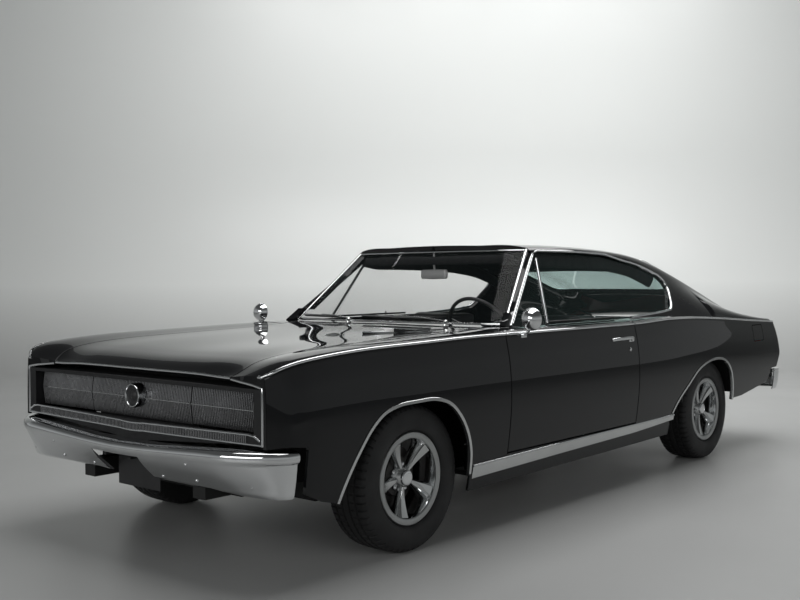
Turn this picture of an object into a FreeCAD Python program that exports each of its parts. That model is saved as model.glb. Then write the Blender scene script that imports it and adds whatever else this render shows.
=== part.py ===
import FreeCAD, Part
import math
import os
import re
from types import SimpleNamespace
from FreeCAD import Placement, Rotation, Vector

# A two-door fastback muscle car of the mid 1960s, in millimetres.
# X points to the car's left, Y to its tail and Z up. The origin is on the floor, under the middle of the car.
# A station is a distance behind the front axle.

SIZES = (  # alias, value, what it is
    ("wheelbase", 2972, "front axle to rear axle"),
    ("front_axle_y", -1654, "place of the front axle"),
    ("half_width", 956.5, "centre plane to the widest line of the body side"),
    ("seam", 5, "gap between a moving panel and its neighbour"),
    ("seat_gap", 0.3, "clearance at pins and seats"),
    ("skin", 24, "fender and quarter panel, skin with its inner flange"),
    ("lid_thickness", 22, "hood and trunk lid, skin with its frame"),
    ("roof_thickness", 34, "roof and pillars, skin with headliner"),
    ("glass_thickness", 6, "all glass"),
    ("hood_half_width", 633, "centre plane to the hood's edge"),
    ("hood_front_station", -783, "hood lip at the centre"),
    ("hood_front_sweep", -22, "hood lip at its corners, ahead of the centre"),
    ("hood_rear_station", 752, "rear edge of the hood"),
    ("door_front_station", 634, "door seam behind the fender"),
    ("door_rear_station", 1904, "door seam ahead of the quarter panel"),
    ("door_bottom_z", 356, "underside of the doors"),
    ("door_inner_x", 781, "inner face of the doors"),
    ("hinge_x", 885, "door hinge axis from the centre plane"),
    ("hinge_setback", 64, "door hinge axis behind the door seam"),
    ("hinge_pin_radius", 8, "door hinge pin"),
    ("hinge_leaf", 22, "height of a hinge leaf"),
    ("hinge_low_z", 470, "lower door hinge"),
    ("hinge_high_z", 800, "upper door hinge"),
    ("post_outer_x", 772, "outer face of the hinge posts"),
    ("fuel_door_front_station", 3634, "fuel door"),
    ("fuel_door_rear_station", 3816, "fuel door"),
    ("fuel_door_bottom_z", 733, "fuel door"),
    ("fuel_door_top_z", 838, "fuel door"),
    ("roof_rear_station", 2550, "joint of the roof and the fastback pillars"),
    ("rear_glass_front_station", 2425, "front edge of the rear window"),
    ("rear_glass_rear_station", 3430, "rear edge of the rear window"),
    ("rear_glass_half_width", 560, "rear window"),
    ("axle_travel", 38, "rise of the rear axle that its wheelhouse leaves room for"),
    ("trunk_front_station", 3500, "front edge of the trunk lid"),
    ("trunk_rear_station", 4046, "rear edge of the trunk lid"),
    ("trunk_half_width", 596, "trunk lid"),
    ("glass_plane_x", 800, "side glass at the belt"),
    ("glass_plane_z", 930, "belt height at the side glass"),
    ("glass_lean", 0.475, "inward lean of the side glass for each millimetre up"),
    ("lid_gap", 10, "gap at the hinged edge of the hood and the trunk lid"),
    ("tyre_radius", 322, "standing tyre"),
    ("tyre_half_width", 112.5, "tyre section"),
    ("tread_half_width", 90, "tread"),
    ("wheel_x", 767, "middle plane of the wheels"),
    ("rim_radius", 203, "rim lip"),
    ("rim_half_width", 100, "rim, lip to lip"),
    ("bead_radius", 186, "tyre seat on the rim"),
    ("barrel_radius", 166, "inside of the rim barrel"),
    ("hub_bore", 30.3, "bore of the wheel hub"),
    ("spindle_radius", 30, "spindle in the wheel hub"),
    ("spokes", 5, "spokes in a wheel"),
    ("drum_radius", 140, "brake drum"),
    ("steer_axis_x", 665, "steering axis from the centre plane"),
    ("ball_joint_low_z", 215, "lower ball joint"),
    ("ball_joint_high_z", 470, "upper ball joint"),
    ("floor_bottom_z", 250, "underside of the floor pan"),
    ("floor_thickness", 24, "floor pan with its ribs"),
    ("trunk_floor_z", 490, "underside of the trunk floor"),
    ("tunnel_half_width", 130, "propeller shaft tunnel"),
    ("tunnel_top_z", 430, "propeller shaft tunnel"),
    ("rail_x", 395, "middle of the front rails"),
    ("firewall_station", 500, "front face of the firewall"),
    ("grille_face_y", -2444, "front face of the grille bars"),
    ("grille_frame_y", -2476, "front face of the grille frame"),
    ("grille_bottom_z", 602, "grille opening"),
    ("grille_top_z", 756, "grille opening"),
    ("grille_half_width", 778, "grille opening"),
    ("pod_inner_x", 360, "seam of the headlamp pods"),
    ("pod_setback", 25, "pod axis behind the grille face"),
    ("bar_pitch", 10.5, "pitch of the upright grille bars"),
    ("bar_width", 4.6, "width of a grille bar"),
    ("bar_depth", 9, "depth of a grille bar"),
    ("frame_border", 58, "grille frame beside its opening"),
    ("support_top_z", 836, "top of the radiator support"),
    ("frame_top_z", 777, "grille frame"),
    ("bumper_thickness", 10, "bumper bar with its stiffener"),
    ("seat_width", 480, "front bucket seat"),
    ("seat_x", 386, "middle of a seat"),
    ("steering_wheel_radius", 195, "steering wheel"),
    ("steering_wheel_x", 368, "steering wheel"),
    ("mirror_radius", 56, "round door mirror"),
    ("axle_tube_radius", 38, "rear axle tube"),
    ("shaft_radius", 38, "propeller shaft"),
    ("exhaust_radius", 28, "exhaust pipes"),
)

doc = FreeCAD.newDocument("MuscleCar")
sheet = doc.addObject("Spreadsheet::Sheet", "Sizes")
for row, (alias, value, note) in enumerate(SIZES, start=1):
    sheet.set("A%d" % row, alias)
    sheet.set("B%d" % row, str(value))
    sheet.set("C%d" % row, note)
    sheet.setAlias("B%d" % row, alias)
doc.recompute()
S = SimpleNamespace(**{alias: float(sheet.get(alias)) for alias, value, note in SIZES})
ALIASES = set(vars(S))
S.frame_half_width = S.grille_half_width + S.frame_border
REAR_AXLE_Y = S.front_axle_y + S.wheelbase
FAR = 3000.0  # reaches past the whole car

# ---------------------------------------------------------------- helpers


def in_sheet(text):
    """The expression with every alias looked up in the sheet."""
    return re.sub(r"[a-z_]+", lambda m: "Sizes." + m.group() if m.group() in ALIASES else m.group(),
                  str(text))


def bind(obj, **expressions):
    for name, text in expressions.items():
        obj.setExpression(name.replace("__", "."), in_sheet(text))


def at(station):
    """Y of a station."""
    return S.front_axle_y + station


def move(obj, x="0", y="0", z="0"):
    bind(obj, Placement__Base__x=x, Placement__Base__y=y, Placement__Base__z=z)
    return obj


def box(name, x0, x1, y0, y1, z0, z1):
    obj = doc.addObject("Part::Box", name)
    bind(obj, Length="(%s) - (%s)" % (x1, x0), Width="(%s) - (%s)" % (y1, y0),
         Height="(%s) - (%s)" % (z1, z0))
    return move(obj, x0, y0, z0)


def cylinder(name, axis, radius, start, end, x="0", y="0", z="0"):
    """A round bar along the axis letter, from start to end on that axis."""
    obj = doc.addObject("Part::Cylinder", name)
    turn = {"X": Rotation(Vector(0, 1, 0), 90), "Y": Rotation(Vector(1, 0, 0), -90), "Z": Rotation()}[axis]
    obj.Placement = Placement(Vector(), turn)
    bind(obj, Radius=radius, Height="(%s) - (%s)" % (end, start))
    centre = {"X": (start, y, z), "Y": (x, start, z), "Z": (x, y, start)}[axis]
    return move(obj, *centre)


def span(side, near, far):
    """Two X places, near and far from the centre plane, on the left (1) or the right (-1)."""
    return (near, far) if side > 0 else ("-(%s)" % far, "-(%s)" % near)


def fuse(name, *parts):
    obj = doc.addObject("Part::MultiFuse", name)
    obj.Shapes = list(parts)
    return obj


def cut(name, base, *tools):
    tool = tools[0] if len(tools) == 1 else fuse(name + "_tools", *tools)
    obj = doc.addObject("Part::Cut", name)
    obj.Base, obj.Tool = base, tool
    return obj


def mirrored(name, source):
    obj = doc.addObject("Part::Mirroring", name)
    obj.Source = source
    obj.Normal = Vector(1, 0, 0)
    return obj


def feature(name, shape):
    obj = doc.addObject("Part::Feature", name)
    obj.Shape = shape
    return obj


def origin_plane(body, role):
    return next(f for f in body.Origin.OriginFeatures if f.Role == role)


def draw(sketch, points):
    """Closed outline of straight lines in the sketch."""
    for a, b in zip(points, points[1:] + points[:1]):
        sketch.addGeometry(Part.LineSegment(Vector(a[0], a[1], 0), Vector(b[0], b[1], 0)), False)


def padded_profile(name, plane, points, width, x="0", y="0", z="0"):
    """A PartDesign body: an outline in an origin plane, padded evenly to both sides of it."""
    body = doc.addObject("PartDesign::Body", name)
    sketch = body.newObject("Sketcher::SketchObject", name + "_outline")
    sketch.AttachmentSupport = (origin_plane(body, plane), "")
    sketch.MapMode = "FlatFace"
    draw(sketch, points)
    pad = body.newObject("PartDesign::Pad", name + "_pad")
    pad.Profile = sketch
    pad.Midplane = True
    bind(pad, Length=width)
    body.Tip = pad
    return move(body, x, y, z)


NODES = {}


def node(name, obj):
    obj.Label = name
    NODES[name] = obj
    return obj


def block(x0, x1, y0, y1, z0, z1):
    return Part.makeBox(x1 - x0, y1 - y0, z1 - z0, Vector(x0, y0, z0))


def line(a, b):
    return Part.LineSegment(Vector(*a), Vector(*b)).toShape()


def arc(a, b, c):
    return Part.Arc(Vector(*a), Vector(*b), Vector(*c)).toShape()


def prism(points, axis, start, end):
    """A solid from a closed outline of (p, q) points, extruded along the axis letter."""
    place = {"X": lambda p, q: (start, p, q), "Y": lambda p, q: (p, start, q), "Z": lambda p,
             q: (p, q, start)}[axis]
    way = {"X": Vector(1, 0, 0), "Y": Vector(0, 1, 0), "Z": Vector(0, 0, 1)}[axis] * (end - start)
    corners = [Vector(*place(p, q)) for p, q in points]
    return Part.Face(Part.makePolygon(corners + corners[:1])).extrude(way)


def turned(profile, sides):
    """A solid turned about X from a closed (x, radius) outline, in flat facets that keep the file small.

    A facet lies at the bottom, and its middle is at the full radius."""
    half = math.pi / sides
    angles = [2 * math.pi * i / sides + half for i in range(sides)]
    rings = []
    for x, radius in profile:
        reach = radius / math.cos(half)
        rings.append([Vector(x, reach * math.sin(a), -reach * math.cos(a)) for a in angles])
    faces = []
    for ring, after in zip(rings, rings[1:] + rings[:1]):
        for i in range(sides):
            j = (i + 1) % sides
            corners = [ring[i], ring[j], after[j], after[i]]
            if corners[0].distanceToPoint(corners[1]) < 1e-6:
                corners = corners[1:]
            elif corners[2].distanceToPoint(corners[3]) < 1e-6:
                corners = corners[:3]
            faces.append(Part.Face(Part.makePolygon(corners + corners[:1])))
    solid = Part.Solid(Part.makeShell(faces))
    if solid.Volume < 0:
        solid.reverse()
    return solid


def mirror_shape(shape):
    return shape.mirror(Vector(), Vector(1, 0, 0))


# ---------------------------------------------------------------- body form

BODY_SECTIONS = (
    # station, sill_x, wide_x, wide_z, belt_x, belt_z, crest_x, crest_z, seam_z, middle_z
    (-900, 860, 900, 640, 872, 772, 830, 767, 765, 763),
    (-868, 878, 930, 642, 896, 806, 850, 799, 788, 785),
    (-825, 888, 946, 646, 912, 848, 862, 846, 804, 797),
    (-785, 893, 950, 648, 918, 866, 868, 872, 812, 803),
    (-735, 896, 952, 650, 920, 875, 870, 886, 860, 853),
    (-600, 899, 954, 652, 921, 891, 873, 902, 884, 876),
    (-314, 902, 955, 655, 922, 908, 876, 919, 903, 893),
    (0, 905, 956.5, 658, 922, 914, 877, 925, 912, 904),
    (436, 908, 956.5, 660, 922, 922, 872, 934, 924, 919),
    (760, 908, 956.5, 662, 922, 921, 862, 938, 940, 944),
    (1900, 908, 956.5, 664, 922, 921, 862, 938, 944, 950),
    (2356, 906, 955, 664, 921, 933, 864, 946, 944, 950),
    (2626, 902, 952, 664, 918, 930, 868, 942, 940, 944),
    (3034, 894, 946, 662, 911, 913, 872, 922, 916, 920),
    (3352, 888, 938, 660, 904, 894, 872, 902, 896, 900),
    (3693, 880, 927, 658, 896, 873, 868, 880, 874, 878),
    (4040, 868, 914, 656, 886, 854, 860, 860, 854, 858),
    (4200, 862, 908, 654, 880, 846, 856, 852, 846, 850),
)
ROOF_SECTIONS = (
    # station, base_x, base_z, rail_x, rail_z, round_x, round_z, crown_z
    (500, 800, 930, 628, 1306, 585, 1328, 1346),
    (1200, 800, 930, 630, 1330, 585, 1354, 1372),
    (1600, 800, 930, 631, 1332, 585, 1358, 1377),
    (2000, 800, 930, 630, 1324, 585, 1350, 1370),
    (2400, 806, 930, 634, 1292, 588, 1324, 1345),
    (2700, 820, 928, 645, 1230, 595, 1275, 1300),
    (3000, 848, 914, 662, 1148, 600, 1198, 1228),
    (3400, 868, 891, 680, 1026, 606, 1080, 1112),
    (3700, 876, 872, 692, 936, 612, 985, 1012),
    (4000, 880, 854, 706, 876, 620, 893, 908),
    (4200, 880, 845, 716, 850, 626, 862, 872),
)
BELOW = 150.0  # the body lofts start here and are trimmed by the side outline


def chords(a, b, c, count):
    """Straight edges along the arc from a through b to c."""
    if count == 1:
        return [Part.LineSegment(a, c).toShape()]
    curve = Part.Arc(a, b, c)
    first, last = curve.FirstParameter, curve.LastParameter
    stops = [curve.value(first + (last - first) * i / count) for i in range(count + 1)]
    return [Part.LineSegment(p, q).toShape() for p, q in zip(stops, stops[1:])]


def flip(p):
    return Vector(-p.x, p.y, p.z)


def section_wire(foot, arcs, middle, middle_chords):
    """A closed section from its left half: arcs up the side, then one arc across through the middle point."""
    edges = [Part.LineSegment(flip(foot), foot).toShape()]
    for a, b, c, count in arcs:
        edges += chords(a, b, c, count)
    last = arcs[-1][2]
    edges += chords(last, middle, flip(last), middle_chords)
    for a, b, c, count in reversed(arcs):
        edges += chords(flip(c), flip(b), flip(a), count)
    return Part.Wire(edges)


def body_loft(inset, drop):
    """The lower body, brought in by inset at its sides and by drop at its top."""
    wires = []
    outer = inset == 0
    for station, sill_x, wide_x, wide_z, belt_x, belt_z, crest_x, crest_z, seam_z, middle_z in BODY_SECTIONS:
        y = at(station)
        bottom_z = BELOW - 4 * inset
        sill = Vector(sill_x - 18 - inset, y, bottom_z)
        tuck = Vector(sill_x + 0.62 * (wide_x - sill_x) - inset, y, 0.5 * (sill.z + wide_z))
        wide = Vector(wide_x - inset, y, wide_z)
        flank = Vector(wide_x - 0.28 * (wide_x - belt_x) - inset, y, 0.5 * (wide_z + belt_z))
        belt = Vector(belt_x - inset, y, belt_z - 0.5 * drop)
        edge = Vector(belt_x - 10 - inset, y, 0.4 * belt_z + 0.6 * crest_z + 1 - 0.8 * drop)
        crest = Vector(crest_x - 0.6 * inset, y, crest_z - drop)
        seam = Vector(S.hood_half_width, y, seam_z - drop)
        middle = Vector(0, y, middle_z - drop)
        finer = 2 if outer else 1
        arcs = [(sill, tuck, wide, finer), (wide, flank, belt, finer), (belt, edge, crest, finer),
                (crest, crest, seam, 1)]
        wires.append(section_wire(sill, arcs, middle, 2))
    return Part.makeLoft(wires, True, True)


def roof_loft(inset):
    """The glasshouse and fastback, brought in by inset."""
    wires = []
    for station, base_x, base_z, rail_x, rail_z, round_x, round_z, crown_z in ROOF_SECTIONS:
        y = at(station)
        foot_z = base_z - 60 - inset
        foot_x = base_x + (base_x - rail_x) / (rail_z - base_z) * 60 if rail_z - base_z > 200 else base_x
        foot = Vector(foot_x - inset, y, foot_z)
        rail = Vector(rail_x - inset, y, rail_z - 0.6 * inset)
        top = Vector(round_x - inset, y, round_z - inset)
        shoulder = Vector(0.5 * (rail.x + top.x) + 3, y, 0.5 * (rail.z + top.z) + 6)
        crown = Vector(0, y, crown_z - inset)
        finer = 2 if inset < 20 else 1
        wires.append(section_wire(foot, [(foot, foot, rail, 1), (rail, shoulder, top, finer)], crown, 4))
    return Part.makeLoft(wires, True, True)


SIDE_OUTLINE = (  # (station, z) of the lower body seen from the side, from the front bumper round the tail
    (-846, 553), (-846, 1500), (4046, 1500), (4068, 852), (4139, 632), (4134, 606), (4080, 522), (3985,
            519),
    (3917, 428), (3445, 370), (3200, 364), (2390, 331), (380, 283), (-480, 300), (-600, 330),
    (-690, 372), (-690, 553),
)  # fmt: skip
FRONT_ARCH = (  # (station from the axle, z) of the wheel opening
    (-530, 200), (-481, 359), (-404, 501), (-340, 582), (-274, 631), (-189, 656), (-66, 663),
    (90, 657), (160, 634), (225, 583), (280, 514), (323, 423), (341, 296), (345, 200),
)  # fmt: skip
REAR_ARCH = (
    (-660, 200), (-630, 313), (-567, 402), (-505, 455), (-420, 512), (-281, 598), (-136, 638), (0, 648),
    (110, 634), (180, 600), (235, 545), (275, 470), (297, 390), (305, 200),
)  # fmt: skip
SIDE_GLASS = (  # (station, z) of the side windows, door and quarter together
    (832, 925), (1290, 1318), (1335, 1327), (1620, 1328), (1860, 1322), (2050, 1311), (2250, 1289),
    (2471, 1252), (2620, 1212), (2705, 1180), (2732, 1155), (2736, 1125), (2655, 1003), (2625, 982),
    (2561, 972), (2364, 958), (2100, 925),
)  # fmt: skip


def outline(points, x0, x1, y0=None):
    shift = S.front_axle_y if y0 is None else y0
    return prism([(p + shift, q) for p, q in points], "X", x0, x1)


side_outline = outline(SIDE_OUTLINE, -FAR, FAR)
body_solid = body_loft(0, 0).common(side_outline)
body_shell = body_solid.cut(body_loft(S.skin, S.lid_thickness))
roof_solid = roof_loft(0)
roof_shell = roof_solid.cut(roof_loft(S.roof_thickness))
tail_trim = prism([(at(4046), 700), (at(4100), 700), (at(4400), 600), (at(4400), 1500), (at(4046), 1500)],
                  "X", -FAR, FAR)
roof_shell = roof_shell.cut(tail_trim)

# ---------------------------------------------------------------- door hinges and door gaps

HINGE_Y = at(S.door_front_station + S.hinge_setback)


def door_nose(gap):
    """The door's rounded front end, turned about the hinge axis; its radius follows the body side."""
    station, sill_x, wide_x, wide_z, belt_x, belt_z, crest_x, crest_z = BODY_SECTIONS[9][:8]
    reach = S.hinge_setback + gap
    side = ((sill_x - 20, BELOW), (0.4 * sill_x + 0.6 * wide_x, 0.5 * (BELOW + wide_z)), (wide_x, wide_z),
            (wide_x - 8, 0.5 * (wide_z + belt_z)), (belt_x, belt_z), (S.hinge_x, crest_z + 60))  # fmt: skip
    profile = [(((x - S.hinge_x) ** 2 + reach**2) ** 0.5, z) for x, z in side]
    corners = [Vector(S.hinge_x + r, HINGE_Y, z) for r, z in profile]
    corners = [Vector(S.hinge_x, HINGE_Y, BELOW)] + corners + [Vector(S.hinge_x, HINGE_Y, profile[-1][1])]
    face = Part.Face(Part.makePolygon(corners + corners[:1]))
    return face.revolve(Vector(S.hinge_x, HINGE_Y, 0), Vector(0, 0, 1), 360)


REAR_SLANT = 9.0  # the gap at the door's inner rear corner is this much wider


def door_rear_gap(near, far):
    """Everything behind the door's rear face, which slants so that its inner corner swings clear."""
    y = at(S.door_rear_station)
    return prism(
        [(S.door_inner_x - 30, y + near - REAR_SLANT), (S.half_width, y + near), (FAR, y + near + 5),
         (FAR, far),
         (S.door_inner_x - 30, far)], "Z", BELOW, FAR)  # fmt: skip


# ---------------------------------------------------------------- fenders, doors and quarter panels


def arch_cutter(points, axle_y):
    return outline(points, 560, FAR, axle_y)


arches = arch_cutter(FRONT_ARCH, S.front_axle_y).fuse(arch_cutter(REAR_ARCH, REAR_AXLE_Y))

HOOD_PIN_RADIUS = 6.0
HOOD_PIN_Y = at(S.hood_rear_station) - 26
HOOD_PIN_Z = 930.0


def pin_along_x(radius, x0, x1, y, z):
    return Part.makeCylinder(radius, x1 - x0, Vector(x0, y, z), Vector(1, 0, 0))


def make_fender():
    room = block(S.hood_half_width + S.seam, FAR, at(-950), HINGE_Y - 20, BELOW, FAR)
    fender = body_shell.common(room)
    nose = body_solid.common(block(S.frame_half_width + 1, FAR, at(-900), at(-800), BELOW, FAR))
    fender = fender.fuse(nose)
    fender = fender.cut(door_nose(S.seam)).cut(block(0, FAR, HINGE_Y, FAR, BELOW, FAR))
    fender = fender.cut(block(0, S.door_inner_x - S.seam, at(S.door_front_station) - S.seam / 2, FAR, BELOW,
                              FAR))
    frame_room = block(0, S.frame_half_width + S.seat_gap, at(-950), at(-740), BELOW, S.frame_top_z + 3)
    return fender.cut(frame_room).cut(arches)


fender = node("fender_left", feature("FenderLeft", make_fender()))
node("fender_right", mirrored("FenderRight", fender))


def make_door():
    room = block(S.door_inner_x, FAR, HINGE_Y, at(S.door_rear_station) + 20, S.door_bottom_z, FAR)
    nose = door_nose(-S.seam / 2).common(
        block(S.door_inner_x - 40, FAR, HINGE_Y - 300, HINGE_Y + 1, S.door_bottom_z, FAR))  # fmt: skip
    door = body_solid.common(room.fuse(nose)).cut(door_rear_gap(-S.seam / 2, at(S.door_rear_station) + 100))
    strip = S.hinge_pin_radius + 7
    for z in (S.hinge_low_z, S.hinge_high_z):
        half = S.hinge_leaf / 2 + 2
        door = door.cut(block(0, S.hinge_x + strip, HINGE_Y - 300, HINGE_Y + strip, z - half, z + half))
        door = door.cut(Part.makeCylinder(S.hinge_pin_radius + S.seat_gap, 70,
                                          Vector(S.hinge_x, HINGE_Y, z - 35)))
    return door


door = node("door_left", feature("DoorLeft", make_door()))
node("door_right", mirrored("DoorRight", door))


def rounded_plan(half_width, front, rear, radius, front_sweep=0.0):
    """A plan outline, symmetric about the car's centre plane, extruded through everything."""
    y0, y1 = at(front), at(rear)
    w, r = half_width, radius
    edges = [
        line((w, y0 + r + front_sweep, 0), (w, y1 - r, 0)),
        arc((w, y1 - r, 0), (w - 0.293 * r, y1 - 0.293 * r, 0), (w - r, y1, 0)),
        line((w - r, y1, 0), (-w + r, y1, 0)),
        arc((-w + r, y1, 0), (-w + 0.293 * r, y1 - 0.293 * r, 0), (-w, y1 - r, 0)),
        line((-w, y1 - r, 0), (-w, y0 + r + front_sweep, 0)),
        arc((-w, y0 + r + front_sweep, 0), (-w + 0.293 * r, y0 + 0.293 * r + front_sweep, 0),
            (-w + r, y0 + front_sweep, 0)),
        arc((-w + r, y0 + front_sweep, 0), (0, y0 + 0.5, 0), (w - r, y0 + front_sweep, 0)),
        arc((w - r, y0 + front_sweep, 0), (w - 0.293 * r, y0 + 0.293 * r + front_sweep, 0),
            (w, y0 + r + front_sweep, 0)),
    ]
    return Part.Face(Part.Wire(edges)).extrude(Vector(0, 0, FAR))


def rear_window_room(grow):
    return rounded_plan(S.rear_glass_half_width + grow, S.rear_glass_front_station - grow,
                        S.rear_glass_rear_station + grow, 60)  # fmt: skip


def trunk_room(grow):
    return rounded_plan(S.trunk_half_width + grow, S.trunk_front_station - grow,
                        S.trunk_rear_station + grow + 40, 30)


side_window = outline(SIDE_GLASS, 400, 1000)
FUEL_PIN_INSET = 14.0


def fuel_door_room(grow, ahead=0):
    return block(850, FAR, at(S.fuel_door_front_station) - grow - ahead,
                 at(S.fuel_door_rear_station) + grow,
                 S.fuel_door_bottom_z - grow, S.fuel_door_top_z + grow)  # fmt: skip


def make_quarter():
    lower = body_shell.common(block(0, FAR, at(S.door_rear_station) - 40, FAR, BELOW, FAR))
    lower = lower.cut(block(-FAR, S.door_inner_x - 12, at(S.door_rear_station) - 60, FAR, 800, FAR))
    sail = roof_shell.common(block(0, FAR, at(S.roof_rear_station), FAR, 700, FAR)).cut(body_solid)
    deck = block(0, S.trunk_half_width + S.seam, at(S.rear_glass_rear_station) - 80, FAR, 700, FAR)
    sail = sail.cut(rear_window_room(S.seat_gap)).cut(deck)
    sail = sail.cut(side_window)
    quarter = lower.fuse(sail)
    ahead = block(0, FAR, 0, at(S.door_rear_station) + 60, BELOW, FAR).cut(door_rear_gap(S.seam / 2, FAR))
    quarter = quarter.cut(ahead).cut(arches)
    return quarter.removeSplitter()


def make_fuel_pocket(quarter):
    quarter = quarter.cut(fuel_door_room(S.seam, 3))
    ring = body_solid.common(fuel_door_room(S.seam + 14)).cut(body_loft(S.skin + 16, S.lid_thickness))
    ring = ring.cut(fuel_door_room(S.seam, 3))
    back = fuel_door_room(S.seam + 14).common(body_loft(S.skin + 4, S.lid_thickness)).cut(
        body_loft(S.skin + 16, S.lid_thickness))  # fmt: skip
    return quarter.fuse(ring).fuse(back).removeSplitter()


quarter_plain = make_quarter()
quarter = node("quarter_right", feature("QuarterRight", mirror_shape(quarter_plain)))
quarter_left = make_fuel_pocket(quarter_plain)


def side_point(z, station=3725):
    """X of the body side at a height, near the fuel door."""
    probe = body_solid.common(Part.makeLine(Vector(600, at(station), z), Vector(1200, at(station), z)))
    return probe.BoundBox.XMax


FUEL_MIDDLE_Z = 0.5 * (S.fuel_door_bottom_z + S.fuel_door_top_z)
FUEL_PIN_Y = at(S.fuel_door_front_station) + FUEL_PIN_INSET
FUEL_PIN_X = side_point(FUEL_MIDDLE_Z, S.fuel_door_front_station + FUEL_PIN_INSET) - 9


def make_fuel_door():
    leaf = body_solid.common(fuel_door_room(0)).cut(body_loft(S.skin - 10, S.lid_thickness))
    pin = Part.makeCylinder(3, S.fuel_door_top_z - S.fuel_door_bottom_z + 16,
                            Vector(FUEL_PIN_X, FUEL_PIN_Y, S.fuel_door_bottom_z - 8))  # fmt: skip
    return leaf.fuse(pin)


fuel_bore = Part.makeCylinder(3 + S.seat_gap, S.fuel_door_top_z - S.fuel_door_bottom_z + 20,
                              Vector(FUEL_PIN_X, FUEL_PIN_Y, S.fuel_door_bottom_z - 10))  # fmt: skip
node("quarter_left", feature("QuarterLeft", quarter_left.cut(fuel_bore)))
node("fuel_door", feature("FuelDoor", make_fuel_door()))

# ---------------------------------------------------------------- hood, cowl, roof and glass


def make_hood():
    plan = rounded_plan(S.hood_half_width, S.hood_front_station, S.hood_rear_station, 12,
                        S.hood_front_sweep)
    hood = body_shell.common(plan)
    for x in (S.hood_half_width - 30, -S.hood_half_width - 24):
        hood = hood.fuse(pin_along_x(HOOD_PIN_RADIUS, x, x + 54, HOOD_PIN_Y, HOOD_PIN_Z))
    return hood.common(block(-FAR, FAR, -FAR, FAR, 700, FAR))


hood_bores = pin_along_x(HOOD_PIN_RADIUS + S.seat_gap, -S.hood_half_width - 30, S.hood_half_width + 30,
                         HOOD_PIN_Y, HOOD_PIN_Z)
node("hood", feature("Hood", make_hood()))

WINDSHIELD = (  # height, edge_x, edge_y, middle_y of the glass's outer face
    (951.0, 741.5, -782.0, -846.0),
    (1331.0, 604.5, -385.0, -440.0),
)
ROOT_Z, HEAD_Z = 880.0, 1420.0


def windshield_level(z):
    """Edge x, edge y and middle y of the windshield's outer face at a height."""
    (z0, *low), (z1, *high) = WINDSHIELD
    share = (z - z0) / (z1 - z0)
    return [a + share * (b - a) for a, b in zip(low, high)]


def windshield_band(grow_x, front, back, z0, z1, wide=None):
    """A curved band along the windshield, from front millimetres ahead of its face to back behind it."""
    wires = []
    for z in (z0, z1):
        edge_x, edge_y, middle_y = windshield_level(z)
        bow = (edge_y - middle_y) / edge_x**2
        x = edge_x + grow_x if wide is None else wide
        y_edge = middle_y + bow * x * x
        ahead = chords(Vector(-x, y_edge - front, z), Vector(0, middle_y - front, z),
                       Vector(x, y_edge - front, z), 6)
        behind = chords(Vector(x, y_edge + back, z), Vector(0, middle_y + back, z),
                        Vector(-x, y_edge + back, z), 6)
        side = line((x, y_edge - front, z), (x, y_edge + back, z))
        other = line((-x, y_edge + back, z), (-x, y_edge - front, z))
        wires.append(Part.Wire([*ahead, side, *behind, other]))
    return Part.makeLoft(wires, True, True)


slope_share = 0.69  # the glass leans, so a horizontal depth is its thickness over this
windshield = windshield_band(0, 0, S.glass_thickness / slope_share, ROOT_Z, 1333.0).cut(body_loft(0, -0.3))
node("windshield", feature("Windshield", windshield))


def make_roof():
    roof = roof_shell.common(block(-FAR, FAR, at(400), at(S.roof_rear_station), 900, FAR))
    roof = roof.cut(windshield_band(0, 900, -6, ROOT_Z, HEAD_Z, wide=1000.0))
    opening = windshield_band(S.seat_gap, 100, 140, ROOT_Z - 20, 1333.4)
    roof = roof.cut(opening).cut(side_window).cut(mirror_shape(side_window))
    roof = roof.cut(rear_window_room(S.seat_gap)).cut(body_solid)
    for side in (1, -1):
        x0, x1 = sorted((side * (S.door_inner_x - S.seam), side * 1000))
        roof = roof.cut(block(x0, x1, at(400), at(2100), 800, 950))
    return roof


roof = max(make_roof().Solids, key=lambda piece: piece.Volume)
node("roof", feature("Roof", roof))


def make_cowl():
    """Cowl top, firewall and the two hinge posts, in one welded piece."""
    top = body_shell.common(block(-S.post_outer_x, S.post_outer_x, at(S.door_front_station), at(960), 800,
                                  FAR))
    plan = rounded_plan(S.hood_half_width + S.seam, S.hood_front_station, S.hood_rear_station + S.lid_gap,
                        12)
    top = top.cut(plan.common(block(-FAR, FAR, -FAR, FAR, 850, FAR)))
    y = at(S.firewall_station)
    wall = block(-S.post_outer_x, S.post_outer_x, y, y + 16, S.floor_bottom_z + S.floor_thickness, 880)
    tray = block(-S.post_outer_x, S.post_outer_x, y, at(S.hood_rear_station) + 30, 864, 880)
    riser = block(-S.post_outer_x, S.post_outer_x, at(S.hood_rear_station) + 14,
                  at(S.hood_rear_station) + 30, 864, 925)
    post_end = at(820) - S.seat_gap
    post = block(S.post_outer_x - 62, S.post_outer_x, y, post_end, S.floor_bottom_z + S.floor_thickness,
                 895)
    post = post.fuse(block(S.post_outer_x - 62, S.post_outer_x, at(S.door_front_station) + S.seam, post_end,
                           890, 926))
    cowl = top.fuse([wall, tray, riser, post, mirror_shape(post)])
    for z in (S.hinge_low_z, S.hinge_high_z):
        leaf = block(S.post_outer_x - 4, S.hinge_x, HINGE_Y - 12, HINGE_Y + 12, z - S.hinge_leaf / 2,
                     z + S.hinge_leaf / 2)
        pin = Part.makeCylinder(S.hinge_pin_radius, 64, Vector(S.hinge_x, HINGE_Y, z - 32))
        eye = Part.makeCylinder(12, S.hinge_leaf, Vector(S.hinge_x, HINGE_Y, z - S.hinge_leaf / 2))
        hinge = leaf.fuse([pin, eye])
        cowl = cowl.fuse([hinge, mirror_shape(hinge)])
    return cowl.removeSplitter()


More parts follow.
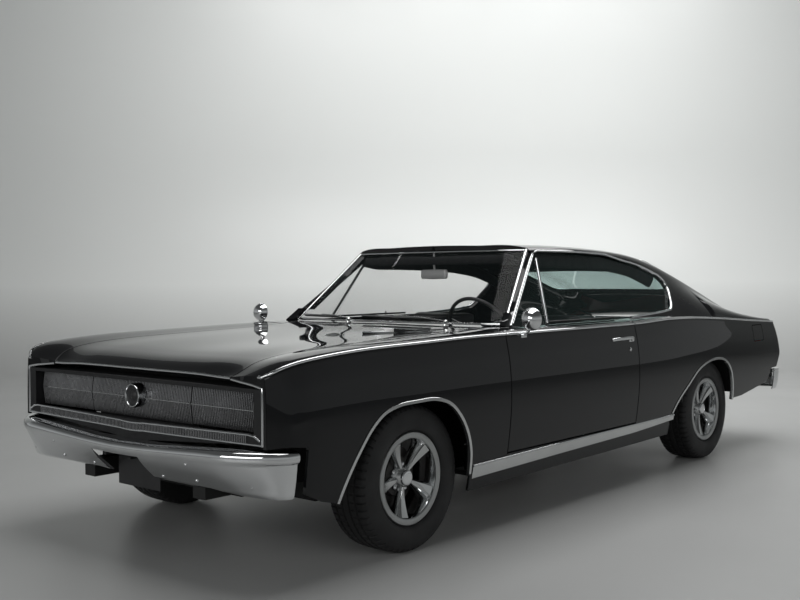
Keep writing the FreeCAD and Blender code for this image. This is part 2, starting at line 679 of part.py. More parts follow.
cowl = make_cowl()
node("cowl", feature("Cowl", cowl.cut(hood_bores)))
fender_bored = feature("FenderBored", fender.Shape.cut(hood_bores))


def glass_layer(front, thickness):
    return roof_loft(front).cut(roof_loft(front + thickness))


rear_glass = glass_layer(4, S.glass_thickness).common(rear_window_room(0)).common(block(-FAR, FAR, -FAR,
        FAR, 1000, FAR))
node("rear_window", feature("RearWindow", rear_glass))
TRUNK_PIN_SETBACK = 14.0
TRUNK_PIN_RADIUS = 5.0
TRUNK_LUG_X = 150.0
TRUNK_LUG_HALF = 9.0
TRUNK_LUG_RADIUS = 10.0
TRUNK_SLOT_HALF = 14.0
trunk_pin_y = at(S.trunk_front_station) + TRUNK_PIN_SETBACK


def crown_height(station, x):
    probe = roof_solid.common(Part.makeLine(Vector(x, at(station), 600), Vector(x, at(station), 1600)))
    return probe.BoundBox.ZMax


TRUNK_PIN_Z = crown_height(S.trunk_front_station + TRUNK_PIN_SETBACK, TRUNK_LUG_X) - TRUNK_LUG_RADIUS - 1


def make_trunk_lid():
    """Lid with a slot at each hinge, and a short pin across the slot."""
    lid = roof_solid.cut(roof_loft(S.lid_thickness)).common(trunk_room(0)).cut(tail_trim)
    lid = lid.common(block(-FAR, FAR, -FAR, at(S.trunk_rear_station), 820, FAR))
    for x in (TRUNK_LUG_X, -TRUNK_LUG_X):
        slot = block(x - TRUNK_SLOT_HALF, x + TRUNK_SLOT_HALF, trunk_pin_y - 40, trunk_pin_y + 18, 800, FAR)
        reach = TRUNK_SLOT_HALF + 8
        lid = lid.cut(slot).fuse(pin_along_x(TRUNK_PIN_RADIUS, x - reach, x + reach, trunk_pin_y,
                                             TRUNK_PIN_Z))
    return lid


def make_rear_deck():
    """Panel between the rear window and the trunk lid, with the two hinge lugs at its rear edge."""
    w, y1 = S.trunk_half_width + S.seam, at(S.trunk_front_station) - S.lid_gap
    deck = roof_solid.cut(roof_loft(S.lid_thickness))
    deck = deck.common(block(-w, w, at(S.rear_glass_rear_station) - 70, y1, 800, FAR))
    deck = deck.cut(rear_window_room(S.seat_gap))
    for x in (TRUNK_LUG_X, -TRUNK_LUG_X):
        x0, x1, r = x - TRUNK_LUG_HALF, x + TRUNK_LUG_HALF, TRUNK_LUG_RADIUS
        lug = block(x0, x1, y1 - 12, trunk_pin_y, TRUNK_PIN_Z - r, TRUNK_PIN_Z + r)
        lug = lug.fuse(pin_along_x(r, x0, x1, trunk_pin_y, TRUNK_PIN_Z))
        deck = deck.fuse(lug.cut(pin_along_x(TRUNK_PIN_RADIUS + S.seat_gap, x0, x1, trunk_pin_y,
                                             TRUNK_PIN_Z)))
    return deck


node("trunk_lid", feature("TrunkLid", make_trunk_lid()))
node("rear_deck", feature("RearDeck", make_rear_deck()))


def side_glass(depth):
    """Leaning slab in the plane of the side windows."""
    x0, z0, lean = S.glass_plane_x, S.glass_plane_z, S.glass_lean
    low, high = 900, 1400
    return prism([(x0 - lean * (low - z0) - depth, low), (x0 - lean * (low - z0), low),
                  (x0 - lean * (high - z0), high), (x0 - lean * (high - z0) - depth, high)],
                 "Y", at(700), at(2900))  # fmt: skip


def shrunk(points, amount):
    return [(p + (amount if p < 1700 else -amount), q - (amount if q > 1100 else 0)) for p, q in points]


glass_sheet = side_glass(S.glass_thickness).common(outline(shrunk(SIDE_GLASS, S.seam), 400,
        1000)).cut(body_loft(0, -0.3))
split_y = at(S.door_rear_station)
VENT = ((1196, 940), (1342, 1330))  # (station, z) of the bar between vent and door glass
vent_bar = prism([(at(VENT[0][0]) - 7, VENT[0][1] - 30), (at(VENT[0][0]) + 7, VENT[0][1] - 30),
                  (at(VENT[1][0]) + 7, VENT[1][1] + 10), (at(VENT[1][0]) - 7,
                          VENT[1][1] + 10)], "X", 400, 1000)  # fmt: skip
front_glass = glass_sheet.common(block(0, FAR, -FAR, split_y - S.seam / 2, 0, FAR))
vent_frame = side_glass(14).common(outline(shrunk(SIDE_GLASS, S.seam + 1), 400,
                                           1000)).common(vent_bar).cut(body_loft(0, -0.3))
quarter_glass = glass_sheet.common(block(0, FAR, split_y + S.seam / 2, FAR, 0, FAR))
door_glass = node("door_glass_left", feature("DoorGlassLeft", front_glass.cut(vent_bar).fuse(vent_frame)))
node("door_glass_right", mirrored("DoorGlassRight", door_glass))
node("quarter_glass", feature("QuarterGlass", Part.makeCompound([quarter_glass,
        mirror_shape(quarter_glass)])))

# ---------------------------------------------------------------- grille, headlamp pods, lamps and bumpers


def comb(x0, x1, pitch, width, depth, face_y, back_y):
    """Plan outline of a plate whose front is cut into upright bars."""
    points = [(x0, back_y)]
    count = int((x1 - x0 - width) // pitch)
    first = 0.5 * (x0 + x1) - 0.5 * count * pitch
    for i in range(count + 1):
        x = first + i * pitch
        points += [(x - width / 2, face_y + depth), (x - width / 2, face_y), (x + width / 2, face_y),
                   (x + width / 2, face_y + depth)]
    points[1:1] = [(x0, face_y + depth)]
    return points + [(x1, face_y + depth), (x1, back_y)]


GRILLE_Z = 0.5 * (S.grille_bottom_z + S.grille_top_z)
POD_Y = S.grille_face_y + S.pod_setback
POD_PIN_RADIUS = 8.0


def make_pod():
    """One headlamp pod: bars on its front face, two lamps on its back."""
    back_y = POD_Y + S.pod_setback
    plate = prism(comb(S.pod_inner_x, S.grille_half_width, S.bar_pitch, S.bar_width, S.bar_depth,
                       S.grille_face_y, back_y - 12),
                  "Z", S.grille_bottom_z + 1, S.grille_top_z - 1)  # fmt: skip
    spacing = 0.5 * (S.grille_half_width - S.pod_inner_x)
    lamps = []
    for i in range(2):
        x = S.pod_inner_x + spacing * (i + 0.5)
        lamp = turned([(-13, 20), (-13, 74), (0, 74), (0, 64), (6, 40), (8, 20)], 20)
        lamp = lamp.fuse(turned([(-13, 0), (-13, 21), (8, 21), (8, 0)], 20))
        lamp.rotate(Vector(), Vector(0, 0, 1), 90)
        lamp.translate(Vector(x, back_y, GRILLE_Z))
        lamps.append(lamp)
    pin = pin_along_x(POD_PIN_RADIUS, S.pod_inner_x - 25, S.grille_half_width + 25, POD_Y, GRILLE_Z)
    return plate.fuse(lamps + [pin]).removeSplitter()


pod = node("headlamp_pod_left", feature("HeadlampPodLeft", make_pod()))
node("headlamp_pod_right", mirrored("HeadlampPodRight", pod))
pod_bores = pin_along_x(POD_PIN_RADIUS + S.seat_gap, -S.frame_half_width, S.frame_half_width, POD_Y,
                        GRILLE_Z)
centre = prism(comb(5 - S.pod_inner_x, S.pod_inner_x - 5, S.bar_pitch, S.bar_width, S.bar_depth,
                    S.grille_face_y, POD_Y + 20),
               "Z", S.grille_bottom_z - 4, S.grille_top_z + 4)  # fmt: skip
disc = Part.makeCylinder(50, 14, Vector(0, S.grille_face_y - 8,
                                        0.5 * (S.grille_bottom_z + S.grille_top_z) + 5), Vector(0, 1, 0))
node("grille", feature("Grille", centre.fuse(disc).cut(pod_bores)))


SUPPORT_Y = S.front_axle_y - 645


def make_surround():
    """Frame round the grille with its V-shaped lower edge, and the side cheeks that carry the pods."""
    w, y0 = S.frame_half_width, S.grille_frame_y
    low = S.grille_bottom_z - 33
    frame = prism([(-w, S.frame_top_z), (-w, low), (-60, low - 54), (60, low - 54), (w, low),
                   (w, S.frame_top_z)],
                  "Y", y0, S.grille_face_y - 1)  # fmt: skip
    hole = block(-S.grille_half_width - 4, S.grille_half_width + 4, y0 - 1, 0, S.grille_bottom_z - 6,
                 S.grille_top_z + 6)
    frame = frame.cut(hole)
    cheek = block(S.grille_half_width + 5, w, S.grille_face_y - 1, POD_Y + 40, S.grille_bottom_z - 6,
                  S.grille_top_z + 6)
    shelf = block(-w, w, S.grille_face_y - 1, POD_Y + 90, S.frame_top_z - 14, S.frame_top_z - 2)
    sill = block(-w, w, S.grille_face_y - 1, POD_Y + 90, low - 10, low + 4)
    stile = block(5 - S.pod_inner_x, S.pod_inner_x - 5, POD_Y + 20, POD_Y + 34, low, S.frame_top_z - 4)
    tab = block(560, 700, POD_Y + 80, SUPPORT_Y - S.seat_gap, S.frame_top_z - 14, S.frame_top_z - 2)
    parts = [cheek, mirror_shape(cheek), shelf, sill, stile, tab, mirror_shape(tab)]
    return frame.fuse(parts).cut(pod_bores).removeSplitter()


node("grille_surround", feature("GrilleSurround", make_surround()))


def bumper(profile, stations):
    """A bar along a plan path: profile (out, z) points set square to the path at (x, y, heading, drop)."""
    wires = []
    for x, y, angle, drop in stations:
        out = Rotation(Vector(0, 0, 1), angle).multVec(Vector(0, -1, 0))
        flare = 0.8 * min(1.0, abs(math.sin(math.radians(angle))))
        points = []
        for o, z in profile:
            o = o + flare * (120 - o) if z < 500 else o
            points.append(Vector(x, y, 0) + out * o + Vector(0, 0, z - drop * (z - 365) / 175))
        wires.append(Part.makePolygon(points + points[:1]))
    return Part.makeLoft(wires, True, True)


def both_ways(path):
    """The left half of a path, mirrored about the centre plane."""
    return [(-x, y, -angle, drop) for x, y, angle, drop in reversed(path)] + [p for p in path if p[0] > 0]


THICK = S.bumper_thickness
FRONT_BAR = ((0, 546), (100, 548), (134, 536), (138, 512), (96, 440), (36, 368), (12, 358),
             (12, 358 + THICK),
             (34, 368 + THICK), (92 - THICK, 444), (130 - THICK, 512), (98, 546 - THICK), (0, 546 - THICK))  # fmt: skip
FRONT_PATH = [(0, -2447.5, 0, 40), (360, -2447.5, 0, 22), (776, -2447.5, 0, 0), (800, -2438, 32, 0),
              (806, -2424, 62, 0),
              (794, -2400, 90, 0), (794, -2350, 90, 0)]  # fmt: skip


def make_front_bumper():
    bar = bumper(FRONT_BAR, both_ways(FRONT_PATH))
    notch = prism([(-170, -2600), (170, -2600), (150, -2300), (-150, -2300)], "Z", 300, 420)
    bracket = block(S.rail_x - 30, S.rail_x + 30, -2480, at(-780) - S.seat_gap, 330, 452)
    bar = bar.cut(notch)
    body = bar.fuse([bracket, mirror_shape(bracket)])
    plate = block(-152, 152, -2500, -2494, 296, 470)
    for x in (-PLATE_SPACING / 2, PLATE_SPACING / 2):
        plate = plate.cut(Part.makeCylinder(PLATE_HOLE, 90, Vector(x, -2520, 440), Vector(0, 1, 0)))
        body = body.fuse(block(x - 8, x + 8, -2560, -2494, 448, 458))
    return body.fuse(plate)


PLATE_SPACING, PLATE_HOLE = 178.0, 3.5
node("front_bumper", feature("FrontBumper", make_front_bumper()))

REAR_BAR = ((0, 514), (96, 516), (124, 508), (128, 492), (104, 430), (66, 376), (40, 366),
            (40, 366 + THICK),
            (62, 378 + THICK), (98 - THICK, 432), (118 - THICK, 490), (92, 516 - THICK), (0, 514 - THICK))  # fmt: skip
REAR_PATH = [(0, 2457.5, 180, 0), (400, 2456, 180, 0), (770, 2447, 180, 0), (794, 2436, 145, 0),
             (802, 2400, 98, 0), (802, 2345, 90, 0)]


def make_rear_bumper():
    path = [(-x, y, -a, d) for x, y, a, d in reversed(REAR_PATH)] + [p for p in REAR_PATH if p[0] > 0]
    bar = bumper(REAR_BAR, path)
    bracket = block(505, 565, at(4030) + S.seat_gap, 2560, 425, 470)
    return bar.fuse([bracket, mirror_shape(bracket)])


node("rear_bumper", feature("RearBumper", make_rear_bumper()))

tail_room = prism([(at(4046), 846), (at(4100), 846), (at(4190), 519), (at(4060), 519), (at(4020), 570),
                   (at(4020), 820)],
                  "X", -862, 862)  # fmt: skip
tail_skin = body_solid.common(tail_room).cut(outline([(p - 26, q) for p, q in SIDE_OUTLINE], -FAR, FAR))
tail_skin = tail_skin.cut(body_shell).cut(NODES["quarter_left"].Shape).cut(NODES["quarter_right"].Shape)
lamp_slot = block(-812, 812, 0, FAR, 664, 806)
lamp = tail_skin.common(block(-811.7, 811.7, 0, FAR, 664.3, 805.7))
node("tail_panel", feature("TailPanel", tail_skin.cut(lamp_slot)))
node("tail_lamp", feature("TailLamp", lamp))

# ---------------------------------------------------------------- floor, frame and masses

floor_top = "floor_bottom_z + floor_thickness"
floor_parts = [
    box("FloorPlate", -795, 795, "front_axle_y + firewall_station", "front_axle_y + 2464", "floor_bottom_z",
        floor_top),
    box("KickUp", -612, 612, "front_axle_y + 2440", "front_axle_y + 2464", "floor_bottom_z",
        "trunk_floor_z + floor_thickness"),
    box("TrunkFloor", -612, 612, "front_axle_y + 2440", "front_axle_y + 4030", "trunk_floor_z",
        "trunk_floor_z + floor_thickness"),
    box("TrunkWings", -820, 820, "front_axle_y + 3360", "front_axle_y + 3990", "trunk_floor_z",
        "trunk_floor_z + floor_thickness"),
]
for side in (-1, 1):
    x0, x1 = span(side, 500, 570)
    floor_parts.append(box("RearRail", x0, x1, "front_axle_y + 2450", "front_axle_y + 4030",
                           "trunk_floor_z - 70", "trunk_floor_z"))


def tunnel():
    w, top = S.tunnel_half_width, S.tunnel_top_z
    base = S.floor_bottom_z + S.floor_thickness
    y0, y1 = at(S.firewall_station) + 20, at(2440)
    outer = prism([(-w, base), (-w + 30, top - 20), (-w + 60, top), (w - 60, top), (w - 30, top - 20),
                   (w, base)], "Y", y0, y1)
    inner = prism([(-w + 14, base - 40), (-w + 14, base), (-w + 40, top - 30), (-w + 64, top - 12),
                   (w - 64, top - 12),
                   (w - 40, top - 30), (w - 14, base), (w - 14, base - 40)], "Y", y0 - 40, y1 + 60)  # fmt: skip
    return outer, inner


def wheelhouse():
    """Rear inner wheel arch: a drum-shaped cover over the tyre."""
    r, x0, x1 = S.tyre_radius + 46, S.wheel_x - S.tyre_half_width - 46, 900
    centre = Vector(x0, REAR_AXLE_Y, S.tyre_radius + S.axle_travel)
    outer = Part.makeCylinder(r + 12, x1 - x0, centre, Vector(1, 0, 0))
    inner = Part.makeCylinder(r, x1 - x0, centre + Vector(12, 0, 0), Vector(1, 0, 0))
    shell = outer.cut(inner).common(block(0, 900, REAR_AXLE_Y - 500, REAR_AXLE_Y + 500, S.tyre_radius + 80,
                                          FAR))
    shell = shell.cut(body_solid.cut(body_loft(S.skin + 1, S.lid_thickness)))
    return shell.common(block(0, 880, -FAR, FAR, 0, FAR))


def rocker():
    x0, y0, y1 = S.post_outer_x + S.seat_gap, at(S.door_front_station) - 60, at(S.door_rear_station) + 60
    solid = body_solid.common(block(x0, FAR, y0, y1, BELOW, S.door_bottom_z - S.seam))
    solid = solid.fuse(block(x0, 880, y0, y1, S.floor_bottom_z, 300))
    solid = solid.cut(fender_bored.Shape).cut(NODES["quarter_left"].Shape).cut(NODES["quarter_right"].Shape)
    return max(solid.Solids, key=lambda s: s.Volume)


tunnel_outer, tunnel_inner = tunnel()
house = wheelhouse()
floor_plain = fuse("FloorPlain", *floor_parts)
floor_extra = feature("FloorExtra", tunnel_outer.fuse([house, mirror_shape(house), rocker(),
                                                       mirror_shape(rocker())]))
floor_cut = cut("FloorPan", fuse("FloorWhole", floor_plain, floor_extra),
                feature("TunnelBore", tunnel_inner))
node("floor_pan", floor_cut)

APRON_X = 467.0
frame_parts = []
for side in (-1, 1):
    x0, x1 = span(side, "rail_x - 40", "rail_x + 40")
    frame_parts.append(box("FrontRail", x0, x1, "front_axle_y - 780", "front_axle_y + firewall_station",
                           300, 380))
    a0, a1 = span(side, APRON_X - 12, APRON_X)
    frame_parts.append(box("Apron", a0, a1, "front_axle_y - 640", "front_axle_y + firewall_station - 1",
                           300, 800))
    frame_parts.append(box("RailFoot", x0, x1, "front_axle_y + 380", "front_axle_y + 640",
                           "floor_bottom_z - 70", "floor_bottom_z"))
    frame_parts.append(box("RailJoint", x0, x1, "front_axle_y + 380", "front_axle_y + firewall_station",
                           "floor_bottom_z - 70", 301))
    c0, c1 = span(side, 300, 467)
    frame_parts.append(box("ApronFoot", c0, c1, "front_axle_y - 640", "front_axle_y + 440", 370, 380))
frame_parts.append(box("CrossMember", "-rail_x - 40", "rail_x + 40", "front_axle_y - 160",
                       "front_axle_y + 160", 190, 301))
frame_parts.append(box("RadiatorSupportLow", -500, 500, "front_axle_y - 645", "front_axle_y - 625", 300,
                       420))
frame_parts.append(box("RadiatorSupportHigh", -800, 800, "front_axle_y - 645", "front_axle_y - 625", 760,
                       "support_top_z"))
frame_parts.append(box("Radiator", -330, 330, "front_axle_y - 640", "front_axle_y - 590", 419, 781))
for side in (-1, 1):
    x0, x1 = span(side, 440, 500)
    frame_parts.append(box("SupportPost", x0, x1, "front_axle_y - 645", "front_axle_y - 625", 300,
                           "support_top_z"))
node("front_frame", fuse("FrontFrame", *frame_parts))

engine_parts = [
    box("Block", -300, 300, "front_axle_y - 330", "front_axle_y + 440", 385, 770),
    box("Sump", -140, 140, "front_axle_y + 170", "front_axle_y + 430", 215, 386),
    cylinder("AirCleaner", "Z", 180, 769, 820, y="front_axle_y + 20"),
]
for side in (-1, 1):
    x0, x1 = span(side, 190, 250)
    engine_parts.append(box("Mount", x0, x1, "front_axle_y - 60", "front_axle_y + 60", "301 + seat_gap",
                            386))
gearbox = cylinder("Gearbox", "Y", 95, "front_axle_y + 439", "front_axle_y + 495", z=320)
node("engine", fuse("Engine", *engine_parts, gearbox))

# ---------------------------------------------------------------- axles, suspension, wheels

axle_parts = [
    cylinder("AxleTube", "X", "axle_tube_radius", "-(wheel_x - 75)", "wheel_x - 75",
             y="front_axle_y + wheelbase", z="tyre_radius"),
    cylinder("DiffBowl", "Y", 130, "front_axle_y + wheelbase - 90", "front_axle_y + wheelbase + 100",
             z="tyre_radius"),
    cylinder("DiffNose", "Y", 60, "front_axle_y + wheelbase - 260", "front_axle_y + wheelbase - 80",
             z="tyre_radius"),
    cylinder("Shaft", "Y", "shaft_radius", "front_axle_y + 540", "front_axle_y + wheelbase - 250",
             z="tyre_radius"),
]
for side in (-1, 1):
    a0, a1 = span(side, "wheel_x - 66", "wheel_x + 40")
    b0, b1 = span(side, "wheel_x - 76", "wheel_x - 64")
    axle_parts.append(cylinder("Stub", "X", "spindle_radius", a0, a1, y="front_axle_y + wheelbase",
                               z="tyre_radius"))
    axle_parts.append(cylinder("BackPlate", "X", "drum_radius - 8", b0, b1, y="front_axle_y + wheelbase",
                               z="tyre_radius"))
node("rear_axle", fuse("RearAxle", *axle_parts))

SPRING_X = 535.0


def leaf_spring(x):
    """A leaf pack under the axle with its eyes on the rear rail."""
    y, z = REAR_AXLE_Y, S.tyre_radius - S.axle_tube_radius
    wires = []
    front, rear, eye_z = at(2492), at(3640), S.trunk_floor_z - 100
    outer = [arc((x - 32, front, eye_z), (x - 32, y, z - 34), (x - 32, rear, eye_z)),
             line((x - 32, rear, eye_z), (x - 32, rear, eye_z + 12)),
             arc((x - 32, rear, eye_z + 12), (x - 32, y, z - S.seat_gap), (x - 32, front, eye_z + 12)),
             line((x - 32, front, eye_z + 12), (x - 32, front, eye_z))]  # fmt: skip
    pack = Part.Face(Part.Wire(outer)).extrude(Vector(64, 0, 0))
    hangers = [block(x - 34, x + 34, front - 6, front + 30, eye_z - 4, S.trunk_floor_z - 70 - S.seat_gap),
               block(x - 34, x + 34, rear - 30, rear + 6, eye_z - 4, S.trunk_floor_z - 70 - S.seat_gap)]  # fmt: skip
    return pack.fuse(hangers)


spring = leaf_spring(SPRING_X)
node("leaf_springs", feature("LeafSprings", Part.makeCompound([spring, mirror_shape(spring)])))


def suspension_arm(z, reach, inner_x, thickness):
    """A wishbone from the frame to a ball joint."""
    y, x = S.front_axle_y, S.steer_axis_x
    plan = [(inner_x, y - reach), (x + 4, y - 20), (x + 16, y), (x + 4, y + 20), (inner_x, y + reach),
            (inner_x, y + reach - 34), (x - 60, y), (inner_x, y - reach + 34)]  # fmt: skip
    return prism(plan, "Z", z - thickness / 2, z + thickness / 2)


low_arm = suspension_arm(S.ball_joint_low_z, 150, S.rail_x + 40 + S.seat_gap, 22)
high_arm = suspension_arm(S.ball_joint_high_z, 110, APRON_X + S.seat_gap, 18)
pins = [Part.makeCylinder(9, 26, Vector(S.steer_axis_x, S.front_axle_y, S.ball_joint_low_z + 10)),
        Part.makeCylinder(9, 26, Vector(S.steer_axis_x, S.front_axle_y, S.ball_joint_high_z - 35))]  # fmt: skip
low_arm, high_arm = low_arm.fuse(pins[0]), high_arm.fuse(pins[1])
suspension = Part.makeCompound([high_arm, mirror_shape(high_arm), low_arm, mirror_shape(low_arm)])
node("front_suspension", feature("FrontSuspension", suspension))


def knuckle():
    """Steering knuckle with its spindle and backing plate."""
    x, y, z = S.steer_axis_x, S.front_axle_y, S.tyre_radius
    low = S.ball_joint_low_z + 11 + S.seat_gap
    high = S.ball_joint_high_z - 9 - S.seat_gap
    upright = block(x - 22, x + 20, y - 28, y + 28, low, high)
    hub = Part.makeCylinder(46, S.wheel_x - 72 - x, Vector(x, y, z), Vector(1, 0, 0))
    spindle = Part.makeCylinder(S.spindle_radius, S.wheel_x + 40 - x, Vector(x, y, z), Vector(1, 0, 0))
    plate = Part.makeCylinder(S.drum_radius - 8, 8, Vector(S.wheel_x - 72, y, z), Vector(1, 0, 0))
    lever = block(x - 60, x + 10, y + 20, y + 130, z - 40, z - 24)
    solid = upright.fuse([hub, spindle, plate, lever])
    for z0 in (low - 1, high - 27):
        solid = solid.cut(Part.makeCylinder(9 + S.seat_gap, 28, Vector(x, y, z0)))
    return solid


knuckle_left = node("knuckle_left", feature("KnuckleLeft", knuckle()))
node("knuckle_right", mirrored("KnuckleRight", knuckle_left))

w, lip = S.rim_half_width, S.rim_radius
RIM_PROFILE = [
    (w, S.bead_radius - 8), (w, lip), (w - 9, lip), (w - 9, S.bead_radius), (w - 46, S.bead_radius - 3),
    (w - 60, S.barrel_radius + 8), (-w + 40, S.barrel_radius + 8), (-w + 9, S.bead_radius), (-w + 9,
            lip), (-w, lip),
    (-w, S.bead_radius - 8), (-w + 44, S.barrel_radius), (w - 54, S.barrel_radius), (w - 24,
            S.bead_radius - 13),
]  # fmt: skip
HUB_PROFILE = [(-56, 12), (-56, S.drum_radius), (-10, S.drum_radius), (-8, 90), (22, 84), (24, 46),
               (66, 40), (73, 28),
               (73, 12)]  # fmt: skip
RIM_SIDES, HUB_SIDES = 36, 20
SPOKE_TURN = 26.0  # the first spoke leans this many degrees ahead of upright


def frustum(lower, upper):
    """Solid with flat sides between two matching outlines."""
    faces = [Part.Face(Part.makePolygon([*ring, ring[0]])) for ring in (lower, upper)]
    for i, corner in enumerate(lower):
        j = (i + 1) % len(lower)
        faces.append(Part.Face(Part.makePolygon([corner, lower[j], upper[j], upper[i], corner])))
    solid = Part.Solid(Part.Shell(faces))
    solid.fix(1e-6, 1e-6, 1e-6)
    return solid


def spoke():
    """One wide spoke with a raised middle facet, from the hub to the barrel."""
    rings = []
    for radius, half, ridge_half, front, ridge in ((36, 15, 5, 44, 60),
                                                   (S.barrel_radius + 4, 38, 23, 60, 84)):
        points = [(24, -half), (front, -half), (ridge, -ridge_half), (ridge, ridge_half), (front, half),
                  (24, half)]
        rings.append([Vector(x, y, radius) for x, y in points])
    return frustum(*rings)


def wheel_shape():
    """A left five-spoke wheel with its drum, about the X axis."""
    rim, hub = turned(RIM_PROFILE, RIM_SIDES), turned(HUB_PROFILE, HUB_SIDES)
    spokes = []
    for i in range(int(S.spokes)):
        one = spoke()
        one.rotate(Vector(), Vector(1, 0, 0), SPOKE_TURN + 360 / S.spokes * i)
        spokes.append(one)
    bore = Part.makeCylinder(S.hub_bore, 97, Vector(-56, 0, 0), Vector(1, 0, 0))
    cap = Part.makeCylinder(20, 20, Vector(50, 0, 0), Vector(1, 0, 0))
    return rim.fuse([hub, cap] + spokes).cut(bore)


r, t = S.tyre_radius, S.tyre_half_width
bead = S.bead_radius + S.seat_gap
TYRE_PROFILE = [
    (-S.rim_half_width + 11, bead), (-S.rim_half_width + 11, S.rim_radius + 3), (-t + 2, 222), (-t,
            258), (-t + 9, 300), (-S.tread_half_width, r - 4),
    (-S.tread_half_width + 14, r), (S.tread_half_width - 14, r), (S.tread_half_width, r - 4), (t - 9,
            300), (t, 258),
    (t - 2, 222), (S.rim_half_width - 11, S.rim_radius + 3), (S.rim_half_width - 11, bead),
]  # fmt: skip
wheel_left = wheel_shape()
tyre_shape = turned(TYRE_PROFILE, RIM_SIDES)
CORNERS = (("fl", 1, "front"), ("fr", -1, "front"), ("rl", 1, "rear"), ("rr", -1, "rear"))
for tag, side, axle in CORNERS:
    y = "front_axle_y" if axle == "front" else "front_axle_y + wheelbase"
    shape = wheel_left if side > 0 else mirror_shape(wheel_left)
    for part_name, part_shape in (("wheel_" + tag, shape), ("tyre_" + tag, tyre_shape)):
        piece = feature(part_name.title().replace("_", ""), part_shape)
        node(part_name, move(piece, "%d * wheel_x" % side, y, "tyre_radius"))

# ---------------------------------------------------------------- exhaust and fuel tank


PIPE_SIDES = 8


def pipe(radius, points):
    """Pipe of flat-sided straight runs with mitred corners."""
    points = [Vector(*p) for p in points]
    run = (points[1] - points[0]).normalize()
    turn = Rotation(Vector(0, 0, 1), run)
    corners = []
    for i in range(PIPE_SIDES):
        angle = math.radians(360 / PIPE_SIDES * (i + 0.5))
        corners.append(points[0] + turn.multVec(Vector(radius * math.cos(angle), radius * math.sin(angle),
                                                       0)))
    ring = Part.makePolygon([*corners, corners[0]])
    return Part.makePolygon(points).makePipeShell([ring], True, False, 1)


def exhaust_side():
    """Down pipe, muffler and tail pipe of one side, with a hanger to the floor and one to the trunk floor."""
    x, z, tail_x = 255.0, 168.0, 425.0
    route = [(x, at(300), 371), (x, at(330), z + 60), (x, at(400), z), (x, at(2240), z),
             (tail_x, at(2440), z),
             (tail_x, at(4125), z + 70)]  # fmt: skip
    muffler = pipe(66, [(x, at(1400), z), (x, at(1920), z)])
    front_hanger = block(x - 10, x + 10, at(1600), at(1625), z + 50, S.floor_bottom_z - S.seat_gap)
    rear_hanger = block(tail_x - 5, tail_x + 5, at(3400), at(3420), z + 50, S.trunk_floor_z - S.seat_gap)
    return pipe(S.exhaust_radius, route).fuse([muffler, front_hanger, rear_hanger])


exhaust_left = exhaust_side()
node("exhaust", feature("Exhaust", Part.makeCompound([exhaust_left, mirror_shape(exhaust_left)])))

tank = box("FuelTank", -330, 330, "front_axle_y + 3420", "front_axle_y + 3960", "trunk_floor_z - 200",
           "trunk_floor_z - seat_gap")
tank_round = doc.addObject("Part::Fillet", "FuelTankRound")
tank_round.Base = tank
doc.recompute()
tank_round.Edges = [(i + 1, 28.0, 28.0) for i, e in enumerate(tank.Shape.Edges)
                    if abs(e.Vertexes[0].Z - e.Vertexes[-1].Z) > 50]  # fmt: skip
node("fuel_tank", tank_round)

# ---------------------------------------------------------------- cabin


def seat(name, x, y, width, back_height, cushion_z="floor_bottom_z + floor_thickness + 0.3"):
    """Bucket seat: cushion and backrest in one side outline, from the floor up."""
    outline_points = [(0, 0), (470, 0), (520, 60), (700, back_height - 20), (660, back_height),
                      (590, back_height - 30),
                      (440, 250), (40, 290), (-20, 240), (-10, 110)]  # fmt: skip
    return padded_profile(name, "YZ_Plane", outline_points, width, x, y, cushion_z)


front_seats = []
for side in (-1, 1):
    front_seats.append(seat("FrontSeat%d" % (side + 1), "%d * seat_x" % side, "front_axle_y + 1150",
                            "seat_width", 700))
front_compound = doc.addObject("Part::Compound", "FrontSeats")
front_compound.Links = front_seats
node("front_seats", front_compound)
rear_seats = []
for side in (-1, 1):
    rear_seats.append(seat("RearSeat%d" % (side + 1), "%d * 310" % side, "front_axle_y + 2030", "430", 590))
rear_compound = doc.addObject("Part::Compound", "RearSeats")
rear_compound.Links = rear_seats
node("rear_seats", cut("RearSeatsCut", rear_compound, fuse("UnderSeats", *[
    box("KickRoom", -620, 620, "front_axle_y + 2439", "front_axle_y + 2900", 200,
        "trunk_floor_z + floor_thickness + 0.3"),
    box("KickRoomTunnel", "-tunnel_half_width - 0.3", "tunnel_half_width + 0.3", "front_axle_y + 1900",
        "front_axle_y + 2900",
        200, "tunnel_top_z + 0.3"),
])))
node("console", padded_profile("Console", "YZ_Plane", [(0, 0), (1480, 0), (1480, 90), (420, 110), (60, 160),
                                                       (0, 120)],
                               "170", y="front_axle_y + 860", z="tunnel_top_z + 0.3"))
dash = padded_profile("DashPad", "YZ_Plane", [(0, 40), (0, 190), (60, 205), (250, 196), (292, 170),
                                              (286, 120), (240, 60), (160, 30)],
                      "2 * 752", y="front_axle_y + 820", z=690)
node("dashboard", dash)


def steering():
    """Rim, three spokes, hub and column of the steering wheel, leaning back at the column's angle."""
    rim = S.steering_wheel_radius
    ring = turned([(-9, rim), (0, rim + 9), (9, rim), (0, rim - 9)], 32)
    ring.rotate(Vector(), Vector(0, 1, 0), 90)
    parts = [Part.makeCylinder(28, 50, Vector(0, 0, -30)), Part.makeCylinder(19, 300, Vector(0, 0, -330))]
    for angle in (90, 210, 330):
        bar = block(15, S.steering_wheel_radius - 4, -11, 11, -4, 4)
        bar.rotate(Vector(), Vector(0, 0, 1), angle)
        parts.append(bar)
    solid = ring.fuse(parts)
    solid.rotate(Vector(), Vector(1, 0, 0), -62)
    solid.translate(Vector(S.steering_wheel_x, at(1180), 905))
    return solid


doc.recompute()
wheel_solid = steering()
node("steering_wheel", feature("SteeringWheel", wheel_solid.cut(dash.Shape)))

# ---------------------------------------------------------------- small fittings


